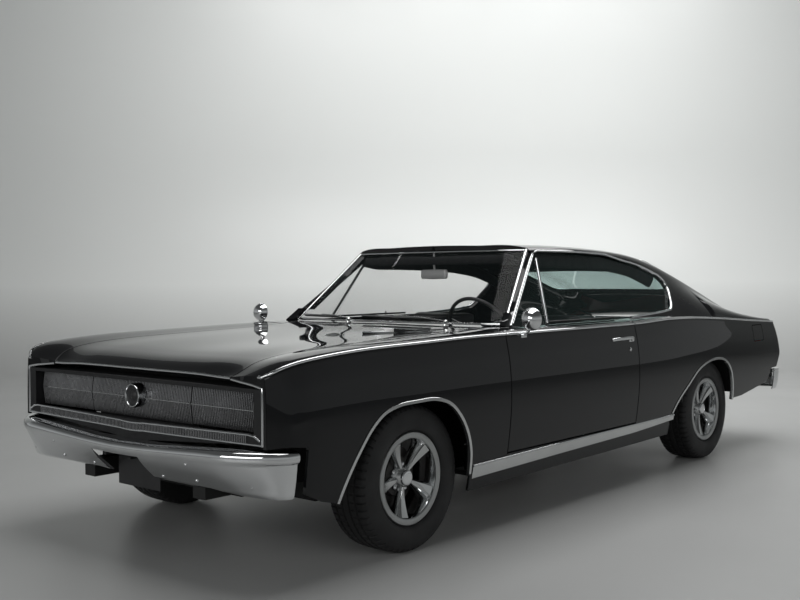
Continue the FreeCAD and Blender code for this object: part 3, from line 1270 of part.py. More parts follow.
def mirror_outside():
    centre = Vector(976, at(774), 1024)
    shell = Part.makeCone(30, S.mirror_radius, 36, centre + Vector(0, -36, 0), Vector(0, 1, 0))
    stalk = Part.makeCylinder(7, 90, Vector(930, at(790), 950), Vector(40, -20, 74))
    foot = block(895, 945, at(770), at(830), 900, 954).cut(body_loft(0, -0.3))
    return shell.fuse([stalk, foot])


mirror_left = node("door_mirror_left", feature("DoorMirrorLeft", mirror_outside()))
node("door_mirror_right", mirrored("DoorMirrorRight", mirror_left))
glass_mirror = box("MirrorPlate", -100, 100, "front_axle_y + 1229", "front_axle_y + 1247", 1180, 1238)
mirror_stalk = cylinder("MirrorStalk", "Z", 7, 1237, 1345, y="front_axle_y + 1238")
node("inside_mirror", cut("InsideMirror", fuse("InsideMirrorWhole", glass_mirror, mirror_stalk),
                          feature("RoofInner", roof)))

NODES["fender_left"].Shape = fender_bored.Shape
doc.recompute()

# ---------------------------------------------------------------- checks and files

for obj in doc.Objects:
    if "Invalid" in obj.State or "Error" in obj.State:
        raise RuntimeError("%s failed: %s" % (obj.Label, obj.State))
os.makedirs("parts", exist_ok=True)
for label, obj in NODES.items():
    if obj.Shape.isNull() or not obj.Shape.isValid():
        raise RuntimeError("%s has no valid shape" % label)
    obj.Shape.exportStep("parts/%s.step" % label)
    print(label, len(obj.Shape.Solids), "solids", round(obj.Shape.Volume / 1e6, 1), "litres")
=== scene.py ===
# %% [markdown]
# A black fastback coupe, dressed over its engineering model.
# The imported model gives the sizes, the places and the moving bodies. Everything here rides on those bodies.
# Glossy black paint shows every flat facet, so the painted panels are made again as smooth surfaces.

# %% Load the frame
import math
import bmesh
import bpy
import numpy as np
from mathutils import Matrix, Vector
from mathutils.geometry import delaunay_2d_cdt


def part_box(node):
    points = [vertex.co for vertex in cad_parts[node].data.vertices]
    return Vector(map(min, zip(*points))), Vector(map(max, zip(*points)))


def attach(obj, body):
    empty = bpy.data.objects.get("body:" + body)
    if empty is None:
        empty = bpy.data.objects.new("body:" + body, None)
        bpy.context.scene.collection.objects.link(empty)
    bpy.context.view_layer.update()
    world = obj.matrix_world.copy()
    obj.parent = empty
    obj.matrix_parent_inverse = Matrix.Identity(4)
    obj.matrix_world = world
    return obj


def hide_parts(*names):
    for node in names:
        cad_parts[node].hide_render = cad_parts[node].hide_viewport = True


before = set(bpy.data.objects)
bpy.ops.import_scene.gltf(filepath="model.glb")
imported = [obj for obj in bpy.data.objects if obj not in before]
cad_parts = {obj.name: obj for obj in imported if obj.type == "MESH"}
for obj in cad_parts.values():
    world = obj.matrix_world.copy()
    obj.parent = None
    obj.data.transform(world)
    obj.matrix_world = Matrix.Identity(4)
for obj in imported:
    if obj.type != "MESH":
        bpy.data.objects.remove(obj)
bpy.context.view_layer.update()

AXLE_Y = -1.654  # front axle; stations are counted from it, in millimetres, towards the rear
WHEELBASE = 2.972
AXLE_Z = 0.322

# %% [markdown]
# Two effects repeat on many finishes, so they are two node groups with named sockets.
# One puts out soft mottling for roughness and tint. One puts out a fine grain for bumps.

# %% Shared effects


def node(tree, kind, **values):
    """A new shader node, with values set on its named sockets. An underscore stands for a space."""
    made = tree.nodes.new("ShaderNode" + kind)
    for socket, value in values.items():
        made.inputs[socket.replace("_", " ")].default_value = value
    return made


def effect_group(name, output, inputs):
    """A new shader node group with its sockets, and its two end nodes."""
    group = bpy.data.node_groups.new(name, "ShaderNodeTree")
    for socket, value in inputs:
        made = group.interface.new_socket(socket, in_out="INPUT", socket_type="NodeSocketFloat")
        made.default_value = value
    group.interface.new_socket(output, in_out="OUTPUT", socket_type="NodeSocketFloat")
    return group, group.nodes.new("NodeGroupInput"), group.nodes.new("NodeGroupOutput")


def mottle_group():
    """Cloudy variation between a low and a high value."""
    group, given, result = effect_group("Mottle", "Value", [("Scale", 6.0), ("Low", 0.1), ("High", 0.3)])
    place, noise = node(group, "TexCoord"), node(group, "TexNoise", Detail=5.0)
    spread = node(group, "MapRange", From_Min=0.3, From_Max=0.7)
    link = group.links.new
    link(place.outputs["Object"], noise.inputs["Vector"])
    link(given.outputs["Scale"], noise.inputs["Scale"])
    link(noise.outputs["Fac"], spread.inputs["Value"])
    link(given.outputs["Low"], spread.inputs["To Min"])
    link(given.outputs["High"], spread.inputs["To Max"])
    link(spread.outputs["Result"], result.inputs["Value"])
    return group


def grain_group():
    """Fine pebbled height, as on leather, vinyl, rubber and castings."""
    group, given, result = effect_group("Grain", "Height", [("Scale", 400.0), ("Depth", 1.0)])
    place, cells, scaled = node(group, "TexCoord"), node(group, "TexVoronoi"), node(group, "Math")
    scaled.operation = "MULTIPLY"
    link = group.links.new
    link(place.outputs["Object"], cells.inputs["Vector"])
    link(given.outputs["Scale"], cells.inputs["Scale"])
    link(cells.outputs["Distance"], scaled.inputs[0])
    link(given.outputs["Depth"], scaled.inputs[1])
    link(scaled.outputs["Value"], result.inputs["Height"])
    return group


MOTTLE, GRAIN = mottle_group(), grain_group()
print("effects", MOTTLE.name, GRAIN.name)

# %% [markdown]
# Each finish is one Principled surface. Numbers that are the same all over sit on its own sockets.
# The mottle group drives roughness and a darker tint, and the grain group drives a bump where the finish has one.

# %% Finishes


def blank(name, **sockets):
    """A new material, its node tree and its surface, with plain values set on the surface's sockets."""
    material = bpy.data.materials.new(name)
    material.use_nodes = True
    surface = material.node_tree.nodes["Principled BSDF"]
    for socket, value in sockets.items():
        surface.inputs[socket.replace("_", " ")].default_value = value
    return material, material.node_tree, surface


def effect(tree, group, **values):
    """One of the shared groups placed in a material."""
    placed_group = tree.nodes.new("ShaderNodeGroup")
    placed_group.node_tree = group
    for socket, value in values.items():
        placed_group.inputs[socket].default_value = value
    return placed_group


def finish(name, color, metallic=0.0, rough=(0.2, 0.3), scale=6.0, grain=None, tint=0.8, **sockets):
    """A material from a colour, a roughness range and, if wanted, a grain of (scale, strength, distance)."""
    material, tree, surface = blank(name, Metallic=metallic, **sockets)
    mottle = effect(tree, MOTTLE, Scale=scale, Low=rough[0], High=rough[1])
    tree.links.new(mottle.outputs["Value"], surface.inputs["Roughness"])
    clouds = effect(tree, MOTTLE, Scale=scale * 0.6, Low=0.0, High=1.0)
    mix = node(tree, "Mix")
    mix.data_type = "RGBA"
    tree.links.new(clouds.outputs["Value"], mix.inputs["Factor"])
    mix.inputs["A"].default_value = (*[c * tint for c in color], 1)
    mix.inputs["B"].default_value = (*color, 1)
    tree.links.new(mix.outputs["Result"], surface.inputs["Base Color"])
    if grain:
        pebbles = effect(tree, GRAIN, Scale=grain[0])
        bump = node(tree, "Bump", Strength=grain[1], Distance=grain[2])
        tree.links.new(pebbles.outputs["Height"], bump.inputs["Height"])
        tree.links.new(bump.outputs["Normal"], surface.inputs["Normal"])
    return material


PAINT = finish("black_paint", (0.0075, 0.0078, 0.0085), rough=(0.16, 0.2), scale=1.5, Coat_Weight=1.0,
               Coat_Roughness=0.02, Coat_IOR=1.4, Specular_IOR_Level=0.0)
CHROME = finish("chrome", (0.82, 0.83, 0.84), metallic=1.0, rough=(0.03, 0.07), scale=9, tint=0.94)
SATIN = finish("satin_rim", (0.46, 0.47, 0.47), metallic=1.0, rough=(0.28, 0.36), scale=14, tint=0.9)
POLISHED = finish("polished_spoke", (0.6, 0.61, 0.61), metallic=1.0, rough=(0.08, 0.15), scale=12, tint=0.9)
BRIGHT = finish("bright_trim", (0.72, 0.73, 0.73), metallic=1.0, rough=(0.1, 0.16), scale=9, tint=0.92)
DARK = finish("dark_recess", (0.006, 0.006, 0.007), rough=(0.5, 0.7), scale=12)
SILVER = finish("silver_paint", (0.5, 0.5, 0.5), metallic=0.25, rough=(0.3, 0.4), scale=12)
BAR = finish("grille_bar", (0.42, 0.42, 0.43), metallic=0.9, rough=(0.22, 0.32), scale=20)
RUBBER = finish("tyre_rubber", (0.012, 0.012, 0.0125), rough=(0.5, 0.68), scale=9, grain=(900, 0.25, 0.0006))
SEAL = finish("black_rubber", (0.008, 0.008, 0.008), rough=(0.45, 0.6), scale=14)
VINYL = finish("black_vinyl", (0.013, 0.013, 0.014), rough=(0.38, 0.5), scale=10, grain=(700, 0.35, 0.0008))
TRIM_BLACK = finish("moulded_trim", (0.016, 0.016, 0.017), rough=(0.42, 0.55), scale=11, grain=(500, 0.25, 0.0006))
CARPET = finish("carpet", (0.01, 0.01, 0.011), rough=(0.85, 0.95), scale=30, grain=(300, 0.8, 0.003))
UNDER = finish("underbody_black", (0.008, 0.008, 0.008), rough=(0.5, 0.7), scale=7, grain=(160, 0.4, 0.001))
IRON = finish("cast_iron", (0.07, 0.068, 0.066), metallic=0.6, rough=(0.5, 0.72), scale=9, grain=(240, 0.5, 0.001))
PIPE = finish("exhaust_steel", (0.3, 0.28, 0.26), metallic=0.9, rough=(0.3, 0.5), scale=5)
LAMP_RED = finish("red_lamp", (0.32, 0.008, 0.008), rough=(0.08, 0.14), scale=8, Coat_Weight=0.6, Coat_Roughness=0.04)


def glass(name, color, opacity):
    """Thin tinted glass: mostly see-through, with the clear coat's reflection at a slant."""
    material, tree, surface = blank(name, Base_Color=(*color, 1), Roughness=0.02, Coat_Weight=1.0, Coat_Roughness=0.01)
    slant = node(tree, "LayerWeight", Blend=0.12)
    spread = node(tree, "MapRange", To_Min=opacity, To_Max=0.35)
    tree.links.new(slant.outputs["Facing"], spread.inputs["Value"])
    tree.links.new(spread.outputs["Result"], surface.inputs["Alpha"])
    return material


def tinted(name, color):
    """Solid tinted glass that bends and colours the light going through."""
    return finish(name, color, rough=(0.0, 0.02), scale=3, tint=0.98, Transmission_Weight=1.0, IOR=1.45)


GLASS = glass("side_glass", (0.03, 0.06, 0.055), 0.05)
LENS = glass("lamp_lens", (0.6, 0.62, 0.62), 0.35)
WINDSHIELD_GLASS = glass("windshield_glass", (0.03, 0.04, 0.04), 0.02)
REAR_GLASS = tinted("tinted_glass", (0.62, 0.80, 0.77))
print(len(bpy.data.materials), "finishes")

# %% [markdown]
# The body is a skin over cross-sections, as a shipwright lofts a hull.
# Each row of a table is one section at a station. The columns are eased along the car, then each section is
# drawn as a smooth curve. Panels are cut from the skin by outlines, as a tin man cuts sheet over a buck.

# %% Section tables and the two skins
LOWER = (  # station, sill_x, wide_x, wide_z, belt_x, belt_z, crest_x, crest_z, seam_z, middle_z
    (-900, 730, 742, 640, 732, 770, 690, 764, 760, 757), (-868, 790, 800, 642, 794, 796, 756, 790, 786, 781),
    (-825, 838, 850, 646, 842, 822, 806, 820, 808, 800), (-800, 866, 888, 647, 872, 846, 838, 846, 815, 808),
    (-775, 884, 922, 648, 898, 864, 858, 868, 824, 817), (-735, 896, 946, 650, 916, 876, 869, 886, 858, 852),
    (-600, 899, 954, 652, 921, 891, 873, 902, 884, 876),
    (-314, 902, 955, 655, 922, 908, 876, 919, 903, 893), (0, 905, 956.5, 658, 922, 914, 877, 925, 912, 904),
    (436, 908, 956.5, 660, 922, 922, 872, 934, 924, 919), (760, 908, 956.5, 662, 922, 921, 862, 938, 940, 944),
    (1900, 908, 956.5, 664, 922, 921, 862, 938, 944, 950), (2356, 906, 955, 664, 921, 933, 864, 946, 944, 950),
    (2626, 902, 952, 664, 918, 930, 868, 942, 940, 944), (3034, 894, 946, 662, 911, 913, 872, 922, 916, 920),
    (3352, 888, 938, 660, 904, 894, 872, 902, 896, 900), (3693, 880, 927, 658, 896, 873, 868, 880, 874, 878),
    (4040, 868, 914, 656, 886, 854, 860, 860, 854, 858), (4200, 862, 908, 654, 880, 846, 856, 852, 846, 850),
)
UPPER = (  # station, base_x, base_z, rail_x, rail_z, round_x, round_z, crown_z
    (500, 800, 930, 628, 1306, 585, 1328, 1346), (1200, 800, 930, 630, 1330, 585, 1354, 1372),
    (1600, 800, 930, 631, 1332, 585, 1358, 1377), (2000, 800, 930, 630, 1324, 585, 1350, 1370),
    (2400, 806, 930, 634, 1292, 588, 1324, 1345), (2700, 820, 928, 645, 1230, 595, 1275, 1300),
    (3000, 848, 914, 662, 1148, 600, 1198, 1228), (3400, 868, 891, 680, 1026, 606, 1080, 1112),
    (3700, 876, 872, 692, 936, 612, 985, 1012), (4000, 880, 854, 706, 876, 620, 893, 908),
    (4200, 880, 845, 716, 850, 626, 862, 872),
)
STEP = 10.0  # spacing of the eased stations
STATIONS = np.arange(-900.0, 4201.0, STEP)
RUN = 100  # samples along each run of a section


def stepped(t, h, start, end, slope, end_slope):
    """A smooth step from start to end over a length h, with given slopes at both ends; t runs from 0 to 1."""
    return ((2 * t**3 - 3 * t**2 + 1) * start + (t**3 - 2 * t**2 + t) * h * slope
            + (3 * t**2 - 2 * t**3) * end + (t**3 - t**2) * h * end_slope)


def through(x, y, at):
    """A curve through the points that never overshoots them."""
    h, d = np.diff(x), np.diff(y) / np.diff(x)
    m = np.zeros(len(x))
    m[0], m[-1] = d[0], d[-1]
    for i in range(1, len(x) - 1):
        if d[i - 1] * d[i] > 0:
            a, b = 2 * h[i] + h[i - 1], h[i] + 2 * h[i - 1]
            m[i] = (a + b) / (a / d[i - 1] + b / d[i])
    i = np.clip(np.searchsorted(x, at) - 1, 0, len(h) - 1)
    return stepped((at - x[i]) / h[i], h[i], y[i], y[i + 1], m[i], m[i + 1])


def evenly(points, count):
    """The same line with a given number of evenly spaced points."""
    p = np.array(points, float)
    length = np.concatenate([[0], np.cumsum(np.linalg.norm(np.diff(p, axis=0), axis=1))])
    even = np.linspace(0, length[-1], count)
    return np.stack([np.interp(even, length, column) for column in p.T], 1)


def eased(table, widest=70.0):
    """Every column at every station, with its kinks rubbed down as by a long sanding block."""
    rows = np.array(table, float)
    ends = np.minimum(STATIONS - STATIONS[0], STATIONS[-1] - STATIONS)
    reach = np.clip(ends * 0.25, 3.0, widest)[:, None]
    weight = np.exp(-0.5 * ((STATIONS[None] - STATIONS[:, None]) / reach) ** 2)
    weight /= weight.sum(1)[:, None]
    return [weight @ through(rows[:, 0], rows[:, c], STATIONS) for c in range(1, rows.shape[1])]


def run_of(points, samples=RUN):
    """A smooth run through control points, (n, stations, 2), shared out evenly along its length."""
    p = np.array(points)
    h = np.linalg.norm(np.diff(p, axis=0), axis=2)[..., None] + 1e-9
    d = np.diff(p, axis=0) / h
    m = np.empty_like(p)
    m[0], m[-1] = d[0], d[-1]
    m[1:-1] = (d[1:] * h[:-1] + d[:-1] * h[1:]) / (h[1:] + h[:-1])
    fine = [stepped(t, h[i], p[i], p[i + 1], m[i], m[i + 1]) for i in range(len(h))
            for t in np.linspace(0, 1, 16, endpoint=False)]
    fine = np.array(fine + [p[-1]])
    return np.stack([evenly(fine[:, s], samples + 1) for s in range(p.shape[1])], 1)


def pair(x, z):
    """One control point at every station, as (x, z)."""
    return np.stack([x * np.ones(len(STATIONS)), z * np.ones(len(STATIONS))], 1)


def lower_skin():
    """Run 0 to 1 climbs the side to the belt, and run 1 to 2 crosses the top to the middle."""
    sill_x, wide_x, wide_z, belt_x, belt_z, crest_x, crest_z, seam_z, middle_z = eased(LOWER)
    foot = pair(sill_x - 18, 150.0)
    tuck = pair(sill_x + 0.62 * (wide_x - sill_x), 0.5 * (150 + wide_z))
    wide, belt = pair(wide_x, wide_z), pair(belt_x, belt_z)
    flank = pair(wide_x - 0.28 * (wide_x - belt_x), 0.5 * (wide_z + belt_z))
    edge = pair(belt_x - 10, 0.4 * belt_z + 0.6 * crest_z + 1)
    crest, seam = pair(crest_x, crest_z), pair(633.0, seam_z)
    middle, between_them = pair(0.0, middle_z), pair(400.0, 0.65 * seam_z + 0.35 * middle_z)
    other = pair(-400.0, 0.65 * seam_z + 0.35 * middle_z)
    side = run_of([foot, tuck, wide, flank, belt])
    top = run_of([belt, edge, crest, seam, between_them, middle, other], 2 * RUN)
    return np.concatenate([side, halve(top)[1:]])


def halve(run):
    """The part of a run that crosses the middle which lies on the left, shared out evenly again."""
    out = np.empty((RUN + 1, run.shape[1], 2))
    for s in range(run.shape[1]):
        p = run[:, s]
        cut = int(np.argmax(p[:, 0] <= 1e-9)) if (p[:, 0] <= 1e-9).any() else len(p) - 1
        share = p[cut - 1, 0] / (p[cut - 1, 0] - p[cut, 0])
        out[:, s] = evenly(np.concatenate([p[:cut], [p[cut - 1] + share * (p[cut] - p[cut - 1])]]), RUN + 1)
    out[-1, :, 0] = 0.0
    return out


def upper_skin():
    """Run 0 to 1 climbs the leaning side to the roof rail, and run 1 to 2 crosses the roof to the middle."""
    base_x, base_z, rail_x, rail_z, round_x, round_z, crown_z = eased(UPPER)
    lean = (base_x - rail_x) / (rail_z - base_z + 60)
    foot = pair(base_x + np.minimum(lean, 0.5) * 60 * (rail_z - base_z > 200), base_z - 60)
    side = run_of([foot, pair(base_x, base_z), pair(rail_x, rail_z)])
    rail, top = pair(rail_x, rail_z), pair(round_x, round_z)
    shoulder = 0.5 * (rail + top) + pair(3.0, 6.0)
    quarter = pair(0.5 * round_x, round_z + 0.75 * (crown_z - round_z))
    mirror = quarter * [-1, 1]
    over = run_of([rail, shoulder, top, quarter, pair(0.0, crown_z), mirror], 2 * RUN)
    return np.concatenate([side, halve(over)[1:]])


SKIN_LOW, SKIN_HIGH = lower_skin(), upper_skin()
print("skins", SKIN_LOW.shape, SKIN_HIGH.shape)

# %% [markdown]
# A point on a skin is a pair: the station in millimetres and a climb from 0 to 2.
# The helpers below look points up, and turn a height or a half width at a station into a climb.

# %% Looking points up on a skin
UNIT = 700.0  # one climb is about this many millimetres, so outlines keep their shape


def rows_at(skin, s):
    """The section at each station, between the two nearest stored ones."""
    f = np.clip((np.asarray(s, float) - STATIONS[0]) / STEP, 0, len(STATIONS) - 1.001)
    i = f.astype(int)
    t = (f - i)[:, None, None]
    return (1 - t) * skin[:, i].transpose(1, 0, 2) + t * skin[:, i + 1].transpose(1, 0, 2)


def on_skin(skin, s, climb):
    """Points (x, y, z) in metres."""
    rows = rows_at(skin, s)
    f = np.clip(np.asarray(climb, float) * RUN, 0, 2 * RUN - 0.001)
    j = f.astype(int)
    t = (f - j)[:, None]
    k = np.arange(len(j))
    xz = (1 - t) * rows[k, j] + t * rows[k, j + 1]
    return np.stack([xz[:, 0] / 1000, np.asarray(s, float) / 1000 + AXLE_Y, xz[:, 1] / 1000], 1)


def normals_on(skin, s, climb, ds=14.0, dc=0.02):
    """Outward normals, from points a little way off along and across."""
    s, climb = np.asarray(s, float), np.asarray(climb, float)
    along = on_skin(skin, s + ds, climb) - on_skin(skin, s - ds, climb)
    low, high = np.where(climb > 1, 1.0, 0.0), np.where(climb < 1, 1.0, 2.0)
    across = on_skin(skin, s, np.clip(climb + dc, low, high)) - on_skin(skin, s, np.clip(climb - dc, low, high))
    n = np.cross(along, across)
    middle = climb > 1.999
    n[middle, 0] = 0.0
    n /= np.linalg.norm(n, axis=1)[:, None] + 1e-12
    return n


def climb_at_z(skin, s, z):
    """Climb on the outer side where the skin reaches a height."""
    rows = rows_at(skin, np.atleast_1d(s))
    grid = np.linspace(0, 1, RUN + 1)
    return np.array([np.interp(v, row[: RUN + 1, 1], grid) for v, row in zip(np.atleast_1d(z), rows)])


def climb_at_x(skin, s, x):
    """Climb on the top where the skin reaches a half width."""
    rows = rows_at(skin, np.atleast_1d(s))
    grid = np.linspace(1, 2, RUN + 1)
    return np.array([np.interp(-v, -row[RUN:, 0], grid) for v, row in zip(np.atleast_1d(x), rows)])


def by_z(skin, points):
    """Outline points from (station, z) pairs."""
    p = np.array(points, float)
    return list(zip(p[:, 0], climb_at_z(skin, p[:, 0], p[:, 1]) * UNIT))


def by_x(skin, points):
    """Outline points from (station, half width) pairs."""
    p = np.array(points, float)
    return list(zip(p[:, 0], climb_at_x(skin, p[:, 0], p[:, 1]) * UNIT))


def flowing(points, spacing=12.0):
    """A smooth line through points, given as closely spaced points."""
    p = np.array(points, float)
    if len(p) == 2:
        count = max(int(np.linalg.norm(p[1] - p[0]) / spacing), 1)
        return [tuple(p[0] + (p[1] - p[0]) * i / count) for i in range(count + 1)]
    q = np.stack([p, p], 1)
    length = np.linalg.norm(np.diff(p, axis=0), axis=1).sum()
    return [tuple(v[0]) for v in run_of(q, max(int(length / spacing), 2))]


print("belt at the door", on_skin(SKIN_LOW, [1200.0], [1.0])[0].round(3))

# %% [markdown]
# A panel is a sheet with turned edges: a face, a small rolled edge that catches a line of light, a flange
# inward, and an inner sheet. The face is triangulated inside its outline, and its normals come from the skin,
# so highlights run cleanly from one panel to the next.

# %% Cutting panels
EDGE = 0.0022  # radius of the rolled edge
ROLL = (30, 60, 90)  # degrees round the rolled edge


def inside(points, outline):
    """Which points lie inside a closed outline."""
    x, y = points[:, 0], points[:, 1]
    hit = np.zeros(len(points), bool)
    for (x0, y0), (x1, y1) in zip(outline, np.roll(outline, -1, axis=0)):
        crosses = (y0 > y) != (y1 > y)
        with np.errstate(divide="ignore", invalid="ignore"):
            hit ^= crosses & (x < (x1 - x0) * (y - y0) / (y1 - y0) + x0)
    return hit


def in_sheet(points, loops):
    """Which points lie inside the first loop and outside the others."""
    kept = inside(points, loops[0])
    for hole in loops[1:]:
        kept &= ~inside(points, hole)
    return kept


def tidy_outline(points, spacing=14.0):
    """Closed outline with even, closely spaced points and no doubles, counter-clockwise."""
    p = [np.array(q, float) for q in points]
    out = []
    for a, b in zip(p, p[1:] + p[:1]):
        count = max(int(np.linalg.norm(b - a) / spacing), 1)
        for i in range(count):
            q = a + (b - a) * i / count
            if not out or np.linalg.norm(q - out[-1]) > 0.4:
                out.append(q)
    if np.linalg.norm(out[0] - out[-1]) < 0.4:
        out.pop()
    out = np.array(out)
    area = np.sum(out[:, 0] * np.roll(out[:, 1], -1) - np.roll(out[:, 0], -1) * out[:, 1])
    return out if area > 0 else out[::-1]


def sheet_mesh(skin, outline, depth=0.018, grid=22.0, lift=0.0, holes=()):
    """Vertices, normals and faces of one panel on the left side, with its turned edges."""
    loops = [tidy_outline(outline)] + [tidy_outline(hole)[::-1] for hole in holes]
    rims = np.concatenate(loops)
    lo, hi = loops[0].min(0), loops[0].max(0)
    gs = np.arange(lo[0] + grid / 2, hi[0], grid)
    gc = np.arange(math.floor(lo[1] / grid) * grid, hi[1], grid)
    gc = np.sort(np.append(gc, UNIT)) if lo[1] < UNIT < hi[1] else gc
    cloud = np.array([(s, c) for s in gs for c in gc])
    cloud = cloud[in_sheet(cloud, loops)]
    far = np.array([np.min(np.sum((rims - q) ** 2, axis=1)) for q in cloud]) > (0.42 * grid) ** 2
    edges, first = [], 0
    for loop in loops:
        edges += [(first + i, first + (i + 1) % len(loop)) for i in range(len(loop))]
        first += len(loop)
    flat = [Vector(q) for q in np.concatenate([rims, cloud[far]])]
    verts, _, faces, origin, _, _ = delaunay_2d_cdt(flat, edges, [], 0, 1e-4)
    spots = np.array([tuple(v) for v in verts])
    middles = np.array([spots[list(f)].mean(0) for f in faces])
    faces = [tuple(f) for f, keep in zip(faces, in_sheet(middles, loops)) if keep]
    index = {o: new for new, old in enumerate(origin) for o in old}
    normal = normals_on(skin, spots[:, 0], spots[:, 1] / UNIT)
    place = on_skin(skin, spots[:, 0], spots[:, 1] / UNIT) + normal * lift
    polygons, rings, directions = list(faces), [], []
    total = back_start = len(place)
    total *= 2
    first = 0
    for loop in loops:
        count = len(loop)
        ring = [index[first + i] for i in range(count)]
        first += count
        line, up = place[ring].copy(), normal[ring]
        ahead = np.roll(line, -1, 0) - np.roll(line, 1, 0)
        ahead /= np.linalg.norm(ahead, axis=1)[:, None] + 1e-12
        out = np.cross(ahead, up)
        seam = np.abs(loop[:, 1] / UNIT - 2) < 1e-6  # the middle line has no edge of its own
        out[:, 0] = np.where(seam, 0.0, out[:, 0])
        out /= np.linalg.norm(out, axis=1)[:, None] + 1e-12
        place[ring] = line - out * EDGE * (~seam)[:, None]
        chain = [ring]
        for angle in (*ROLL, None):
            if angle is None:
                rings.append(line - up * depth)
                directions.append(out)
            else:
                a = math.radians(angle)
                rings.append(line - out * EDGE * (1 - math.sin(a)) - up * EDGE * (1 - math.cos(a)))
                directions.append(up * math.cos(a) + out * math.sin(a))
            chain.append(list(range(total, total + count)))
            total += count
        chain.append([back_start + v for v in ring])
        for a, b in zip(chain, chain[1:]):
            for i in range(count):
                j = (i + 1) % count
                if not (seam[i] and seam[j]):
                    polygons.append((a[j], a[i], b[i], b[j]))
    polygons += [tuple(back_start + v for v in f[::-1]) for f in faces]
    points = np.concatenate([place, place - normal * depth] + rings)
    return points, np.concatenate([normal, -normal] + directions), polygons


def mirrored_mesh(points, normals, polygons):
    """The same panel on the right side."""
    flip = np.array([-1.0, 1.0, 1.0])
    return points * flip, None if normals is None else normals * flip, [f[::-1] for f in polygons]


def joined(parts):
    """Several meshes as one."""
    points = np.concatenate([p[0] for p in parts])
    normals = None if parts[0][1] is None else np.concatenate([p[1] for p in parts])
    polygons, start = [], 0
    for p in parts:
        polygons += [tuple(start + v for v in f) for f in p[2]]
        start += len(p[0])
    return points, normals, polygons


def build(name, mesh_parts, material, body="body", replaces=(), weld=False):
    """One Blender piece from points, normals and faces, riding on a body. Its finish gives its slot."""
    points, normals, polygons = mesh_parts
    if weld:
        keys, keep = {}, []
        for i, p in enumerate(points):
            key = (round(p[0], 6), round(p[1], 6), round(p[2], 6)) if abs(p[0]) < 1e-6 else i
            keep.append(keys.setdefault(key, i))
        polygons = [tuple(keep[v] for v in f) for f in polygons]
    polygons = [f for f in polygons if len(set(f)) == len(f)]
    used = sorted({v for f in polygons for v in f})
    new = {old: i for i, old in enumerate(used)}
    mesh = bpy.data.meshes.new(name)
    mesh.from_pydata([tuple(points[v]) for v in used], [], [tuple(new[v] for v in f) for f in polygons])
    mesh.shade_smooth()
    if normals is None:
        whole = bmesh.new()
        whole.from_mesh(mesh)
        bmesh.ops.recalc_face_normals(whole, faces=whole.faces)
        whole.to_mesh(mesh)
        whole.free()
        mesh.set_sharp_from_angle(angle=math.radians(38))
    else:
        mesh.normals_split_custom_set_from_vertices([tuple(normals[v]) for v in used])
    mesh.materials.append(material)
    piece = bpy.data.objects.new(name, mesh)
    bpy.context.collection.objects.link(piece)
    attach(piece, body)
    if replaces:
        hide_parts(*replaces)
    return piece


print("panel tools ready")

# %% [markdown]
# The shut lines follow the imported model: hood, fenders, doors, quarters, deck and lid. The wheel openings are
# drawn from a few points and eased. The roof and its sail panels are one sheet, as on the real car.

# %% Painted panels
G = 2.7  # half a shut line, in millimetres
DOOR_FRONT, DOOR_REAR, DOOR_SILL = 634.0, 1904.0, 356.0
HOOD_HALF, HOOD_REAR = 633.0, 752.0
FRONT_ARCH = (
    (-530, 200), (-481, 359), (-404, 501), (-340, 582), (-274, 631), (-189, 656), (-66, 663),
    (90, 657), (160, 634), (225, 583), (280, 514), (323, 423), (341, 296), (345, 200),
)
REAR_ARCH = (
    (-660, 200), (-630, 313), (-567, 402), (-505, 455), (-420, 512), (-281, 598), (-136, 638), (0, 648),
    (110, 634), (180, 600), (235, 545), (275, 470), (297, 390), (305, 200),
)
FRONT_OPENING = [p for p in flowing(FRONT_ARCH) if p[1] > 296]
REAR_OPENING = [(s + WHEELBASE * 1000, z) for s, z in flowing(REAR_ARCH) if z > 349]
FENDER_NOSE = ((-823, 838), (-821, 815), (-817, 770), (-811, 710), (-806, 640))  # (station, half width)
TAIL_EDGE = ((3985, 519), (4080, 522), (4134, 606), (4139, 632), (4068, 852))  # (station, height)


def fender_outline():
    """The left front fender, from the nose round under its wheel opening and back along the top."""
    front = by_x(SKIN_LOW, flowing(FENDER_NOSE))
    bottom = by_z(SKIN_LOW, [(-823, 553), (-690, 553), (-690, 372), (-600, 330), (-480, 300)] + FRONT_OPENING)
    rear = by_z(SKIN_LOW, [(349, 284), (DOOR_FRONT - G, 292)])
    top_rear = by_x(SKIN_LOW, [(DOOR_FRONT - G, 775), (DOOR_FRONT - G - 1, 640)])
    inner = by_x(SKIN_LOW, [(DOOR_FRONT - G - 1, HOOD_HALF + G), (-805, HOOD_HALF + G)])
    return front[::-1] + [(-823, UNIT)] + bottom + rear + [(DOOR_FRONT - G, UNIT)] + top_rear + inner


def door_outline():
    """The left door. Its upper front corner is rounded, so it clears the cowl as it swings."""
    a, b = DOOR_FRONT + G, DOOR_REAR - G
    low = by_z(SKIN_LOW, [(a, DOOR_SILL + G), (b, DOOR_SILL + G)])
    top = by_x(SKIN_LOW, [(b, 806), (674, 806), (659, 813), (648, 821), (a, 829)])
    return low + [(b, UNIT)] + top + [(a, UNIT)]


def quarter_outline():
    """The left quarter, from the door back over the wheel opening to the tail."""
    a = DOOR_REAR + G
    behind = [(3290, 366), (3445, 370), (3917, 428), (3975, 512)]
    low = by_z(SKIN_LOW, [(a, 333), (2320, 333)] + REAR_OPENING + behind)
    tail = by_z(SKIN_LOW, [(s, z) for s, z in TAIL_EDGE[:-1]])
    top = [(4071, UNIT)] + by_x(SKIN_LOW, [(4060, 850), (3700, 846), (3034, 815), (2600, 790), (a, 790)])
    return low + tail + top + [(a, UNIT)]


